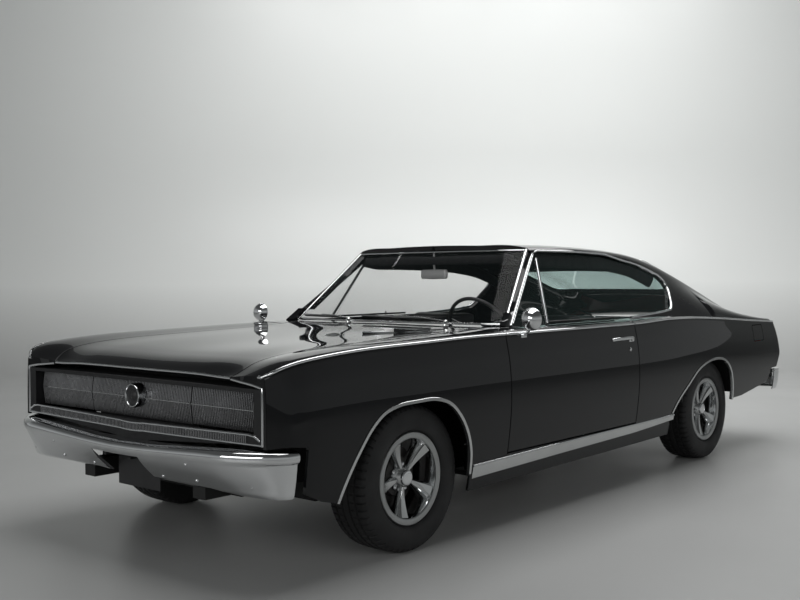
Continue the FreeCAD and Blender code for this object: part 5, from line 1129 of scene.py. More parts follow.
# Each profile is (along the axle, radius).
RING = [(0.080, 0.2025), (0.096, 0.203), (0.0995, 0.2), (0.1, 0.19), (0.099, 0.180), (0.0955, 0.1745),
        (0.088, 0.1745), (0.080, 0.178)]
BARREL_LINE = [(0.092, 0.1745), (0.078, 0.1715), (0.055, 0.168), (0.030, BARREL), (-0.050, BARREL), (-0.080, 0.172),
               (-0.093, 0.186), (-0.100, 0.2), (-0.098, 0.203), (-0.094, 0.2), (-0.088, 0.189), (-0.076, 0.178),
               (-0.050, 0.172), (0.03, 0.172), (0.06, 0.174), (0.092, 0.1855)]
DRUM = [(-0.056, 0.032), (-0.056, 0.138), (-0.050, 0.140), (-0.014, 0.140), (-0.010, 0.136), (-0.008, 0.09),
        (0.022, 0.084), (0.024, 0.034)]
HUB = [(0.020, 0.031), (0.020, 0.058), (0.036, 0.054), (0.050, 0.046), (0.062, 0.040), (0.066, 0.036),
       (0.066, 0.028), (0.050, 0.031)]
CAP = [(0.060, 0.0345), (0.074, 0.0345), (0.078, 0.033), (0.0805, 0.029), (0.0815, 0.020), (0.0818, 0.010),
       (0.082, 0.0008)]


def turn_about_x(points, angle):
    """The points turned about the car's width, by an angle in radians."""
    c, s = math.cos(angle), math.sin(angle)
    return np.array(points) @ np.array([[1, 0, 0], [0, c, s], [0, -s, c]])


def spoke():
    """One spoke, pointing up, from the hub to the barrel."""
    rings = []
    for t in np.linspace(0, 1, 9):
        r = 0.034 + t * 0.137
        half = 0.0135 + 0.0255 * t**1.5
        ridge_half, front = 0.004 + 0.017 * t, 0.040 + 0.022 * t
        ridge = 0.058 + 0.029 * t - 0.006 * math.sin(math.pi * t)
        low_side = [(0.020, -half), (front, -half), (ridge, -ridge_half), (ridge + 0.001, 0)]
        high_side = [(ridge, ridge_half), (front, half), (0.020, half)]
        rings.append([(x, y, r) for x, y in low_side + high_side])
    return lofted(rings)


spokes, nuts = [], []
for i in range(SPOKES):
    points, _, faces = spoke()
    spokes.append((turn_about_x(points, SPOKE_TURN + 2 * math.pi * i / SPOKES), None, faces))
    nut = turned([(0.018, 0.0115), (0.040, 0.0115), (0.043, 0.009), (0.046, 0.005), (0.047, 0.0005)], (0, 0, 0.0575),
                 "X", 6)
    nuts.append((turn_about_x(nut[0], SPOKE_TURN + 2 * math.pi * (i + 0.5) / SPOKES), None, nut[2]))
ORIGIN = (0, 0, 0)
WHEEL_PARTS = (("ring", turned(RING, ORIGIN, "X", 96, closed=True), SATIN, "wheel_metal"),
               ("barrel", turned(BARREL_LINE, ORIGIN, "X", 96, closed=True), CHROME, "wheel_metal"),
               ("spokes", joined(spokes + [turned(HUB, ORIGIN, "X", 40, closed=True)]), POLISHED, "wheel_metal"),
               ("cap", joined(nuts + [turned(CAP, ORIGIN, "X", 40)]), CHROME, "chrome"),
               ("drum", turned(DRUM, ORIGIN, "X", 64, closed=True), IRON, "chassis_iron"))
print("spoke", spokes[0][0].shape[0], "points")

# %% [markdown]
# The tyre is moulded in one: a plain bulging sidewall, a rim guard, and a tread of blocks cut by grooves.
# Rows of blocks are made by letting every other short stretch of the tread sink between the grooves.

# %% Tyres
TREAD = 0.322
SIDE_LINE = [(0.089, 0.187), (0.0895, 0.203), (0.092, 0.208), (0.099, 0.2105), (0.105, 0.216), (0.1085, 0.224),
             (0.1105, 0.236), (0.1118, 0.250), (0.112, 0.262), (0.1108, 0.276), (0.1085, 0.289), (0.1048, 0.300),
             (0.1, 0.3085), (0.094, 0.3145)]
CROWN = [(0.088, 0.3175), (0.080, 0.3195), (0.064, 0.3208), (0.0605, 0.3135), (0.0545, 0.3135), (0.051, 0.3213),
         (0.026, TREAD - 0.0003), (0.0225, 0.3145), (0.0165, 0.3145), (0.013, TREAD - 0.0001)]
BLOCKS, BLOCK_SHARES = 58, (0.0, 0.68, 0.74, 0.94)  # a block is up for the first two marks and down for the last two


def tyre():
    """The whole tyre at the origin, its axle along x."""
    half = SIDE_LINE + CROWN
    profile = np.array(half + [(-x, r) for x, r in half[::-1]])
    marks = [(b + share) * 2 * math.pi / BLOCKS for b in range(BLOCKS) for share in BLOCK_SHARES]
    x, r = profile[:, 0], profile[:, 1]
    shoulder = (np.abs(x) > 0.0635) & (np.abs(x) < 0.1005) & (r > 0.308)
    rib = (np.abs(x) > 0.024) & (np.abs(x) < 0.052) & (r > 0.32)
    points = []
    for k, angle in enumerate(marks):
        low = k % 4 >= 2
        sunk = r - (0.0055 * shoulder if low else 0) - (0.004 * rib if (k // 2) % 2 else 0)
        points.append(np.stack([x, sunk * math.sin(angle), sunk * math.cos(angle)], 1))
    return lofted(points, closed=True)


tyre_form = tyre()
CORNERS = (("fl", 1, 0.0), ("fr", -1, 0.0), ("rl", 1, WHEELBASE), ("rr", -1, WHEELBASE))
for tag, side, back in CORNERS:
    spot = np.array([side * WHEEL_X, AXLE_Y + back, AXLE_Z])
    for part, mesh, material, slot in WHEEL_PARTS:
        form = mesh if side > 0 else mirrored_mesh(*mesh)
        build("%s_%s" % (part, tag), (form[0] + spot, None, form[2]), material, body="wheel_" + tag,
              replaces=["wheel_" + tag] if part == "barrel" else ())
    build("tyre_tread_" + tag, (tyre_form[0] + spot, None, tyre_form[2]), RUBBER, body="wheel_" + tag,
          replaces=["tyre_" + tag])
print("tyre", len(tyre_form[2]), "faces")

# %% [markdown]
# The cabin shows through the glass, so it has its real pieces: a padded dash with four round dials, a console
# between the seats, four bucket seats and trimmed sides. Plates with rounded ends carry the hard pieces.

# %% Dash and console


def smooth_loop(points, count):
    """A closed smooth line through points in a plane."""
    p = np.array(list(points) + [points[0]], float)
    return run_of([[q] for q in p], count)[:-1, 0]


def across_x(outline, half, centre=(0.0, 0.0, 0.0), bevel=0.012, crown=0.0):
    """A solid drawn across the car from an outline of (y, z), its ends rounded off by a bevel."""
    loop = np.array(outline, float)
    middle = loop.mean(0)
    rings = []
    cuts = [(-half, bevel), (-half + 0.3 * bevel, 0.3 * bevel), (-half + bevel, 0)]
    cuts += [(t * (half - bevel), 0) for t in np.linspace(-0.9, 0.9, 9)]
    for x, b in cuts + [(half - bevel, 0), (half - 0.3 * bevel, 0.3 * bevel), (half, bevel)]:
        reach = np.linalg.norm(loop - middle, axis=1)[:, None]
        ring = middle + (loop - middle) * (1 - b / np.maximum(reach, 2 * b + 1e-6)) + [0, crown * (1 - (x / half) ** 2)]
        rings.append(np.column_stack([np.full(len(loop), x), ring]) + centre)
    return lofted(rings)


def at_station(s, z):
    """The origin of a cabin piece, from its station and height in millimetres."""
    return np.array([0.0, s / 1000 + AXLE_Y, z / 1000])


DASH = ((0, 40), (0, 120), (6, 184), (70, 203), (180, 201), (252, 193), (286, 172), (284, 122), (240, 62),
        (160, 32), (60, 30))
dash_loop = smooth_loop(np.array(DASH) / 1000, 60)
build("dash_pad", across_x(dash_loop, 0.750, at_station(820, 690), bevel=0.03), TRIM_BLACK, replaces=["dashboard"])
dials, dial_faces = [], []
for x, z in ((0.236, 0.82), (0.324, 0.825), (0.412, 0.825), (0.500, 0.82)):
    spot = (x, AXLE_Y + 1.102, z)
    dials.append(turned([(-0.012, 0.040), (0.004, 0.040), (0.009, 0.038), (0.009, 0.035), (0.002, 0.033),
                         (-0.012, 0.033)], spot, "Y", 40, closed=True))
    dial_faces.append(turned([(-0.012, 0.034), (-0.002, 0.033), (-0.001, 0.010), (0.004, 0.004), (0.005, 0.0005)],
                             spot, "Y", 32))
build("dial_rings", joined(dials), CHROME)
build("dial_faces", joined(dial_faces), DARK)
glovebox = slab(-0.640, -0.270, AXLE_Y + 1.095, AXLE_Y + 1.110, 0.775, 0.858, bevel=0.004)
build("glovebox_lid", glovebox, TRIM_BLACK)
dash_strip = [(x, AXLE_Y + 1.104, 0.873) for x in np.linspace(-0.69, 0.69, 12)]
build("dash_strip", sweep(dash_strip, (0, 0.9, 0.3), dome(0.010, 0.004, sink=0.01)), BRIGHT)

CONSOLE = ((0, 2), (700, 2), (1480, 2), (1478, 60), (1470, 88), (1100, 98), (420, 110), (200, 146), (60, 160),
           (14, 150), (0, 120))
build("console_body", across_x(np.array(CONSOLE) / 1000, 0.084, at_station(860, 430), bevel=0.010), TRIM_BLACK,
      replaces=["console"])
edges = [sweep([(side * 0.072, AXLE_Y + 0.860 + y, 0.430 + z + 0.001)
                for y, z in ((0.215, 0.1455), (0.42, 0.1105), (0.75, 0.1045), (1.1, 0.0985), (1.44, 0.0895))],
         (0, 0, 1), dome(0.008, 0.004)) for side in (-1, 1)]
lever = sweep([(0, AXLE_Y + 1.30, 0.535), (0, AXLE_Y + 1.292, 0.585), (0, AXLE_Y + 1.30, 0.632)], (0, 1, 0),
              rod(0.006, 0.006, 12))
gate = slab(-0.035, 0.035, AXLE_Y + 1.22, AXLE_Y + 1.38, 0.530, 0.5415, bevel=0.003)
build("console_brightwork", joined(edges + [lever, gate]), BRIGHT)
knob = turned([(-0.016, 0.006), (-0.014, 0.014), (-0.004, 0.020), (0.006, 0.020), (0.014, 0.015), (0.018, 0.004)],
              (0, AXLE_Y + 1.30, 0.644), "Z", 32)
build("shift_knob", knob, TRIM_BLACK)
print("dash", len(dash_loop), "points round its section")

# %% [markdown]
# The steering wheel has a thin hard rim and three flat spokes with slots, which meet at a small hub on the column.
# It is drawn lying flat and leaned over, and the column runs on from the hub into the dash.

# %% Steering wheel
RIM, TUBE, LEAN = 0.193, 0.0105, math.radians(-62)
WHEEL_SPOT = np.array([0.368, AXLE_Y + 1.180, 0.905])


def leaned(part, spot=WHEEL_SPOT, angle=LEAN):
    """The part turned about the cross axis and moved to its place."""
    return turn_about_x(part[0], angle) + spot, None, part[2]


grip = turned([(b, RIM + a) for a, b in rod(TUBE, TUBE)], ORIGIN, "Z", 96, closed=True)
column = turned([(-0.31, 0.030), (-0.13, 0.030), (-0.12, 0.026), (-0.035, 0.024), (-0.03, 0.020)], ORIGIN, "Z", 32)
build("steering_grip", joined([leaned(grip), leaned(column)]), TRIM_BLACK, replaces=["steering_wheel"])
spoke_bars = []
for angle in (math.radians(90), math.radians(-18), math.radians(198)):
    way, beside = np.array([math.cos(angle), math.sin(angle), 0]), np.array([-math.sin(angle), math.cos(angle), 0])
    line = [way * r + [0, 0, -0.020 * (1 - ((r - 0.02) / 0.17) ** 2)] for r in np.linspace(0.020, RIM - 0.004, 9)]
    for shift in (-0.009, 0.009):
        spoke_bars.append(leaned(sweep([p + beside * shift for p in line], (0, 0, 1),
                                       flat_bar(0.006, 0.002, sink=0.001))))
hub_face = turned([(-0.03, 0.028), (-0.012, 0.030), (-0.004, 0.026), (0.0, 0.014), (0.001, 0.0008)], ORIGIN, "Z", 40)
build("steering_spokes", joined(spoke_bars + [leaned(hub_face)]), SATIN)
print("steering wheel at", WHEEL_SPOT.round(3))

# %% [markdown]
# A bucket seat is two stuffed pads on a shell. A stuffed pad is a closed skin: it crowns in the middle, its sides
# pull in between the corners, and sewn channels sink where the thread holds the cover down to the backing.
# The shape is worked out on a fine grid, which is quicker and steadier here than blowing a cloth up.

# %% Padded seats


def pad(width, length, thick, channels=4, border=0.16, pull=0.010):
    """A stuffed pad lying flat, its middle at the origin: channels run along it, inside a plain border."""
    edge = np.sin(np.linspace(-0.5, 0.5, 61) * math.pi)
    u, v = np.meshgrid(edge, edge, indexing="ij")
    round_off = (1 - np.abs(u) ** 7) ** 0.36 * (1 - np.abs(v) ** 7) ** 0.36
    x = u * (0.5 * width - pull * (1 - v**2)) * (1 - 0.035 * np.abs(v) ** 8)
    y = v * (0.5 * length - pull * (1 - u**2)) * (1 - 0.035 * np.abs(u) ** 8)
    panel = (np.abs(u) < 1 - border) & (np.abs(v) < 1 - border)
    sunk = np.zeros_like(u)
    for k in range(channels + 1):
        seam = (2 * k / channels - 1) * (1 - border)
        sunk = np.maximum(sunk, np.exp(-(((u - seam) / 0.022) ** 2)) * (np.abs(v) < 1 - border))
    for seam in (border - 1, 1 - border):
        sunk = np.maximum(sunk, np.exp(-(((v - seam) / 0.022) ** 2)) * (np.abs(u) < 1 - border + 0.02))
    top = 0.62 * thick * round_off * (1 + 0.16 * (1 - u**2) * (1 - v**2)) - 0.007 * sunk + 0.003 * panel
    low = -0.38 * thick * round_off
    n = len(edge)
    points = np.concatenate([np.stack([x, y, top], 2).reshape(-1, 3), np.stack([x, y, low], 2).reshape(-1, 3)])
    rim = {i * n + j for i in range(n) for j in range(n) if i in (0, n - 1) or j in (0, n - 1)}
    faces = []
    for i in range(n - 1):
        for j in range(n - 1):
            q = (i * n + j, (i + 1) * n + j, (i + 1) * n + j + 1, i * n + j + 1)
            faces += [q, tuple(v if v in rim else n * n + v for v in q[::-1])]
    return points, None, faces


def welt(width, length, pull=0.010):
    """The piping sewn round a pad's edge."""
    t = np.linspace(0, 2 * math.pi, 97)[:-1]
    u, v = (np.sign(f(t)) * np.abs(f(t)) ** 0.28 for f in (np.cos, np.sin))
    x, y = u * (0.5 * width - pull * (1 - v**2)), v * (0.5 * length - pull * (1 - u**2))
    line = np.stack([x, y, 0 * u], 1) * [0.985, 0.985, 1]
    return sweep(line, (0, 0, 1), rod(0.0042, 0.0042, 8), closed=True)


def placed(part, angle, x, y, z):
    """The part leaned back by an angle about the cross axis, then moved."""
    return turn_about_x(part[0], angle) + [x, y, z], None, part[2]


def bucket_seat(name, x, s, width, back_height, replaces=()):
    """Cushion, back, piping, shell and feet of one seat. The station is the front of its base."""
    y, base = s / 1000 + AXLE_Y, 0.2743
    tilt, recline = math.radians(4), math.radians(70.5)
    middle = np.array([0.445 + 0.34 * (back_height - 0.05), 0.235 + 0.5 * back_height])
    softs = {
        "cushion": placed(pad(width, 0.485, 0.150), -tilt, x, y + 0.225, base + 0.195),
        "back": placed(pad(width - 0.014, back_height, 0.125), recline, x, y + middle[0] + 0.012,
                       base + middle[1] - 0.003),
    }
    for part, form in softs.items():
        piece = build("%s_%s" % (name, part), form, VINYL, replaces=replaces if part == "cushion" else ())
    piping = [placed(welt(width, 0.485), -tilt, x, y + 0.225, base + 0.195),
              placed(welt(width - 0.014, back_height), recline, x, y + middle[0] + 0.012, base + middle[1] - 0.003)]
    build(name + "_piping", joined(piping), SEAL)
    lean = [math.cos(recline), math.sin(recline)]
    shell = []
    for t in (-0.46, -0.2, 0.1, 0.36):
        shell.append((middle[0] + t * back_height * lean[0] + 0.050, middle[1] + t * back_height * lean[1]))
    outline = [(p[0] - 0.028, p[1]) for p in shell] + [(p[0] + 0.030, p[1] - 0.010) for p in shell[::-1]]
    back_shell = across_x(outline, 0.5 * width - 0.022, (x, y, base), bevel=0.014)
    foot = across_x([(0.015, 0.0), (0.455, 0.0), (0.470, 0.125), (0.0, 0.125)], 0.5 * width - 0.045, (x, y, base),
                    bevel=0.01)
    build(name + "_shell", joined([back_shell, foot]), TRIM_BLACK)
    return piece


for tag, side in (("left", 1), ("right", -1)):
    bucket_seat("front_seat_" + tag, side * 0.386, 1150, 0.480, 0.470, ["front_seats"] if side > 0 else ())
    bucket_seat("rear_seat_" + tag, side * 0.310, 2030, 0.430, 0.400, ["rear_seats"] if side > 0 else ())

# %% [markdown]
# A door's inside is a board covered in vinyl, with an armrest, a pull handle and a window crank.
# The same board, without them, lines the side of the rear seats.

# %% Side trims


def board(outline, x_in, x_out, crown=0.006):
    """A covered board facing the cabin, from an outline of (station, z); its rim turns out towards the skin."""
    loop = np.array(outline, float)
    middle = loop.mean(0)
    rings = []
    for x, grow in ((x_out, 0.0), (x_in + 0.012, 0.0), (x_in + 0.003, -0.004), (x_in, -0.014), (x_in - crown, -0.06)):
        reach = np.linalg.norm(loop - middle, axis=1)[:, None]
        ring = middle + (loop - middle) * (1 + grow / reach)
        rings.append(np.column_stack([np.full(len(loop), x), ring]))
    return lofted(rings)


def board_outline(s0, s1, z0, z1, r=0.03):
    """A rectangle with rounded corners, as (y, z)."""
    y0, y1 = s0 / 1000 + AXLE_Y, s1 / 1000 + AXLE_Y
    loop = []
    for cy, cz, start in ((y1 - r, z1 - r, 0), (y0 + r, z1 - r, 90), (y0 + r, z0 + r, 180), (y1 - r, z0 + r, 270)):
        angles = [math.radians(start + a) for a in (0, 22.5, 45, 67.5, 90)]
        loop += [(cy + r * math.cos(a), cz + r * math.sin(a)) for a in angles]
    return loop


door_board = board(board_outline(662, 1880, 0.385, 0.920), 0.800, 0.884)
pair_of("door_board", door_board, VINYL, DOORS)
rear_board = board(board_outline(1925, 2600, 0.500, 0.918), 0.790, 0.862)
pair_of("rear_side_board", rear_board, VINYL)
rest = pad(0.060, 0.420, 0.058, channels=1)
rest = (rest[0] + [0.772, AXLE_Y + 1.36, 0.640], None, rest[2])
for body, mesh in zip(DOORS, (rest, mirrored_mesh(*rest))):
    build("armrest_" + body[5:], mesh, VINYL, body=body)
pull_line = [(0.792, AXLE_Y + s, z) for s, z in ((1.12, 0.79), (1.13, 0.80), (1.17, 0.803), (1.21, 0.80), (1.22, 0.79))]
pull = sweep(pull_line, (-1, 0, 0), dome(0.016, 0.014, sink=0.004))
crank_arm = sweep([(0.784, AXLE_Y + 0.93, 0.66), (0.780, AXLE_Y + 0.985, 0.675)], (-1, 0, 0),
                  dome(0.014, 0.008, sink=0.004))
crank_knob = turned([(-0.038, 0.006), (-0.036, 0.011), (-0.020, 0.012), (-0.006, 0.007)],
                    (0.786, AXLE_Y + 0.985, 0.675), "X", 24)
crank_base = turned([(-0.014, 0.010), (-0.010, 0.020), (0.008, 0.022)], (0.792, AXLE_Y + 0.93, 0.66), "X", 28)
pair_of("door_pulls", joined([pull, crank_arm, crank_knob, crank_base]), CHROME, DOORS)
board_strip = sweep([(0.7925, AXLE_Y + s, 0.735) for s in np.linspace(0.70, 1.85, 10)], (-1, 0, 0),
                    dome(0.012, 0.004, sink=0.006))
pair_of("door_board_strip", board_strip, BRIGHT, DOORS)
print("side trims done")

# %% [markdown]
# The roof lining is dark cloth stretched below the steel, and it wraps round thick padded rails over the doors.
# Across the front it meets the header, with a sun visor folded up on each side.

# %% Roof lining
rail_stations = np.linspace(1285, 2700, 30)
rail_base = on_skin(SKIN_HIGH, rail_stations, np.full(30, 1.0))
drop = np.interp(rail_stations, [1285, 1400, 2200, 2450, 2700], [0.034, 0.052, 0.056, 0.060, 0.075])
rail_middle = rail_base + np.stack([np.full(30, -0.034), np.zeros(30), -drop], 1)
pair_of("roof_rail_pad", sweep(rail_middle, (0.25, 0, 1), rod(0.019, 0.040, 18)), CARPET)
lining_rows, lining_ups = [], []
for s in np.linspace(1300, 2660, 24):
    row, up = along_skin(SKIN_HIGH, [(s, climb * UNIT) for climb in np.linspace(2.0, 1.06, 12)], -0.034)
    for lines, half in ((lining_rows, row), (lining_ups, up)):
        lines.append(np.concatenate([(half * [-1, 1, 1])[:0:-1], half]))
build("roof_lining", sheet_of(lining_rows, lining_ups, 0.004), CARPET)
rear_header = both_ways(on_skin(SKIN_HIGH, np.full(12, 2672.0), np.linspace(2.0, 1.1, 12)) - [0, 0, 0.052])
front_header = [on_shield(x, 1.309, -0.030)[0] for x in np.linspace(-0.55, 0.55, 23)]
rear_pad = sweep(rear_header, (0, 0, 1), rod(0.016, 0.026, 16))
front_pad = sweep(front_header, (0, 0, 1), rod(0.008, 0.0234, 16))
build("roof_headers", joined([rear_pad, front_pad]), CARPET)
for tag, side in (("left", 1), ("right", -1)):
    visor = pad(0.36, 0.125, 0.024, channels=1, border=0.08, pull=0.003)
    visor = (turn_about_x(visor[0], math.radians(-14)) + [side * 0.30, AXLE_Y + 1.345, 1.300], None, visor[2])
    build("sun_visor_" + tag, visor, TRIM_BLACK)
shelf = slab(-0.60, 0.60, AXLE_Y + 2.70, AXLE_Y + 3.48, 0.872, 0.890, bevel=0.006)
build("rear_shelf", shelf, CARPET)
print("roof lining", len(lining_rows), "rows")

# %% [markdown]
# Small bright fittings catch the eye on a dark car: round mirrors on stalks, handles with a push button,
# locks, wipers, and the frame round the full-width tail lamp. Each rides on the panel that carries it.

# %% Mirrors
MIRROR = np.array([0.976, AXLE_Y + 0.774, 0.988])
HEAD = [(-0.040, 0.004), (-0.0385, 0.018), (-0.034, 0.029), (-0.026, 0.040), (-0.012, 0.050), (-0.002, 0.0545),
        (0.001, 0.056), (0.005, 0.056), (0.006, 0.054), (0.004, 0.052), (0.002, 0.050), (0.001, 0.001)]
head = turned(HEAD, MIRROR, "Y", 56)
stalk_points = np.array([MIRROR + [-0.002, -0.012, -0.046], MIRROR + [-0.010, -0.006, -0.056],
                         (0.950, AXLE_Y + 0.779, 0.926), (0.935, AXLE_Y + 0.784, 0.912)])
stalk_plan = run_of([[q] for q in stalk_points[:, :2]], 10)[:, 0]
stalk_heights = np.interp(np.linspace(0, 1, 11), np.linspace(0, 1, 4), stalk_points[:, 2])
stalk = sweep(np.column_stack([stalk_plan, stalk_heights]), (1, 0, 0.2), rod(0.0085, 0.0065))
foot_path, foot_up = along_skin(SKIN_LOW, [(774 + d, 0.985 * UNIT) for d in np.linspace(-19, 27, 9)])
foot = sweep(foot_path, foot_up, dome(0.026, 0.006))
pair_of("mirror_head", joined([head, stalk, foot]), CHROME, DOORS,
        replaces=(("door_mirror_left",), ("door_mirror_right",)))
case = [(0.098, 0.0), (0.096, 0.018), (0.088, 0.027), (0.0, 0.0285)]
case = [(x * sx, z * sz) for sx, sz, step in ((1, 1, 1), (-1, 1, -1), (-1, -1, 1), (1, -1, -1))
        for x, z in case[::step]]
case = [p for k, p in enumerate(case) if p != case[k - 1]]
DEPTHS = ((-0.010, 0.80), (-0.008, 0.93), (-0.001, 1.0), (0.004, 1.0), (0.005, 0.96))  # (back, share of the outline)
case_back = lofted([[(x * g, AXLE_Y + 1.238 + y, 1.210 + z * g) for x, z in case] for y, g in DEPTHS])
bracket = sweep([(0, AXLE_Y + 1.243, 1.225), (0, AXLE_Y + 1.236, 1.275), (0, AXLE_Y + 1.238, 1.330)], (0, -1, 0),
                dome(0.012, 0.005, sink=0.003))
build("cabin_mirror", joined([case_back, bracket]), SILVER, replaces=["inside_mirror"])
print("mirror head at", MIRROR.round(3))

# %% [markdown]
# A door handle is a cast bar on two feet, with a round push button behind it. The lock is a small turned disc.
# Both are set out on the skin by station and height, so they follow the curve of the door.

# %% Handles and locks


def stud(skin, s, z, profile, sides=28):
    """A turned piece standing out from the skin, its profile given as (out, radius)."""
    climb = climb_at_z(skin, [s], [z])
    spot, out = on_skin(skin, [s], climb)[0], normals_on(skin, [s], climb)[0]
    form = turned([(a, r) for a, r in profile], (0, 0, 0), "X", sides)
    turn = Vector((1, 0, 0)).rotation_difference(Vector(out)).to_matrix()
    return form[0] @ np.array(turn).T + spot, None, form[2]


lifts = ((1634, -0.002), (1640, 0.008), (1650, 0.019), (1668, 0.023), (1745, 0.0245), (1800, 0.023), (1832, 0.019),
         (1846, 0.008), (1851, -0.002))
stations = [s for s, lift in lifts]
bar_path, bar_up = along_skin(SKIN_LOW, by_z(SKIN_LOW, [(s, 842) for s in stations]))
bar_path = evenly(bar_path + bar_up * np.array([lift for s, lift in lifts])[:, None], 40)
handle = sweep(bar_path, bar_up[4], rod(0.0085, 0.0048))
plate_line = by_z(SKIN_LOW, [(s, 838) for s in np.linspace(1806, 1862, 9)])
plate = sweep(*along_skin(SKIN_LOW, plate_line), dome(0.030, 0.005))
button = stud(SKIN_LOW, 1835, 838, [(0.002, 0.013), (0.009, 0.013), (0.013, 0.012), (0.0155, 0.009), (0.0165, 0.0006)])
lock = stud(SKIN_LOW, 1810, 781, [(-0.001, 0.0105), (0.003, 0.0105), (0.0045, 0.009), (0.0035, 0.007),
                                  (0.0045, 0.0055), (0.005, 0.0006)])
pair_of("door_handle", joined([handle, plate, button, lock]), CHROME, DOORS)
knob = turned([(-0.012, 0.0028), (0.018, 0.0028), (0.021, 0.0045), (0.030, 0.0050), (0.034, 0.0035), (0.035, 0.0005)],
              (0.786, AXLE_Y + 1.70, 0.937), "Z", 16)
pair_of("lock_knob", knob, BRIGHT, DOORS)
print("door handle", len(handle[2]), "faces")

# %% [markdown]
# Each wiper is a thin sprung arm on a splined pivot, carrying a blade that lies along the foot of the glass.
# At rest the two blades lie side by side, both pointing to the car's right.

# %% Wipers


def wiper(pivot_x, blade_in, blade_out, z_in, z_out):
    """One wiper: pivot, arm and blade. Widths and heights in metres."""
    pivot = np.array([pivot_x, AXLE_Y + 0.800, 0.958])
    cone = turned([(-0.014, 0.016), (0.002, 0.014), (0.010, 0.009), (0.014, 0.004)], pivot, "Z", 20)
    ends = [on_shield(x, z, 0.010)[0]
            for x, z in ((blade_in, z_in), (0.5 * (blade_in + blade_out), 0.5 * (z_in + z_out)), (blade_out, z_out))]
    _, up = on_shield(0.5 * (blade_in + blade_out), 0.5 * (z_in + z_out))
    line = [on_shield(x, z, 0.008)[0]
            for x, z in zip(np.linspace(blade_in, blade_out, 14), np.linspace(z_in, z_out, 14))]
    blade = sweep(line, up, [(0.0035, -0.001), (0.0045, 0.006), (0.0015, 0.010), (-0.0015, 0.010), (-0.0045, 0.006),
                             (-0.0035, -0.001)])
    arm_line = evenly([pivot + [0, 0, 0.008], 0.5 * (pivot + ends[1]) + up * 0.020, ends[1] + up * 0.012], 12)
    arm = sweep(arm_line, up, dome(0.008, 0.004, sink=0.002))
    rubber = sweep([p - up * 0.006 for p in line], up, flat_bar(0.004, 0.006, sink=0.002))
    return joined([cone, blade, arm]), rubber


right, right_rubber = wiper(-0.268, -0.330, -0.700, 0.966, 0.968)
left, left_rubber = wiper(0.428, 0.300, -0.190, 0.967, 0.974)
build("wipers", joined([right, left]), BRIGHT)
build("wiper_rubbers", joined([right_rubber, left_rubber]), SEAL)
print("wipers on the glass foot")

# %% [markdown]
# The tail is one red lamp across the whole width, in a thin bright frame. Fine upright ribs stand in the lens.
# The model's lens solid stays as the red body, and the ribs and the frame are set on its face.

# %% Tail lamp
(_, _, lamp_z0), (lamp_x1, lamp_y1, lamp_z1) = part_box("tail_lamp")
TAIL_SLOPE = 71 / 220  # how far the tail leans forward for each step up
TAIL_UP = np.array([0.0, 1.0, TAIL_SLOPE]) / math.hypot(1.0, TAIL_SLOPE)


def on_tail(x, z, lift=0.0):
    """A point on the leaning face of the tail."""
    return np.array([x, lamp_y1 - TAIL_SLOPE * (z - lamp_z0), z]) + TAIL_UP * lift


def rounded_frame(x, z0, z1, r, lift):
    """A closed line round the lamp, its corners rounded."""
    line = []
    for cx, cz, start in ((x - r, z1 - r, 0), (r - x, z1 - r, 90), (r - x, z0 + r, 180), (x - r, z0 + r, 270)):
        angles = [math.radians(start + a) for a in range(0, 91, 15)]
        line += [on_tail(cx + r * math.cos(a), cz + r * math.sin(a), lift) for a in angles]
    return line


tail_frame = sweep(rounded_frame(lamp_x1 - 0.003, lamp_z0 + 0.003, lamp_z1 - 0.003, 0.014, 0.0), TAIL_UP,
                   dome(0.013, 0.006, sink=0.004), closed=True)
build("tail_lamp_frame", tail_frame, CHROME)
ribs = []
rib_heights = (lamp_z0 + 0.012, 0.5 * (lamp_z0 + lamp_z1), lamp_z1 - 0.012)
for x in np.arange(-0.792, 0.7921, 0.018):
    ribs.append(sweep([on_tail(x, z) for z in rib_heights], TAIL_UP, dome(0.0075, 0.0028, sink=0.001, steps=5)))
build("tail_lamp_ribs", joined(ribs), LAMP_RED)
bars = [sweep(straight(on_tail(-0.795, z), on_tail(0.795, z), 2), TAIL_UP, dome(0.0045, 0.0042, sink=0.001, steps=5))
        for z in (0.700, 0.735, 0.770)]
build("tail_lamp_lines", joined(bars), BRIGHT)
lip_low = sweep(straight(on_tail(-0.862, 0.650, 0.0005), on_tail(0.862, 0.650, 0.0005), 2), TAIL_UP, dome(0.010, 0.004))
build("tail_panel_trim", lip_low, BRIGHT)
around = rear_glass_outline()
corners = np.array(around[1:-1])
edge = [tuple(a + (b - a) * t) for a, b in zip(corners, corners[1:])
        for t in np.linspace(0, 1, 8)[:-1]] + [tuple(corners[-1])]
edge, edge_up = along_skin(SKIN_HIGH, [(around[0][0], 1.9999 * UNIT)] + edge + [(around[-1][0], 1.9999 * UNIT)])
edge, edge_up = edge[edge[:, 0] > 0.0005], edge_up[edge[:, 0] > 0.0005]
frame_line, frame_up = (np.concatenate([line, (line * [-1, 1, 1])[::-1]]) for line in (edge, edge_up))
build("rear_window_moulding", sweep(frame_line, frame_up, dome(0.014, 0.005), closed=True), CHROME)
strip_line = by_x(SKIN_HIGH, [(LID_REAR - 9, x) for x in np.linspace(0.5, LID_HALF - 8, 30)])
strip, strip_up = along_skin(SKIN_HIGH, strip_line)
build("lid_rear_strip", sweep(both_ways(strip), both_ways(strip_up), dome(0.012, 0.004)), BRIGHT, body="trunk_lid")
print("tail lamp", len(ribs), "ribs")

# %% [markdown]
# The plain solids that stay in sight are under the car and behind the glass: floor, frame, engine, springs,
# axles, tank and pipes. They keep the model's shapes and get cast, painted and pipe finishes of their own.

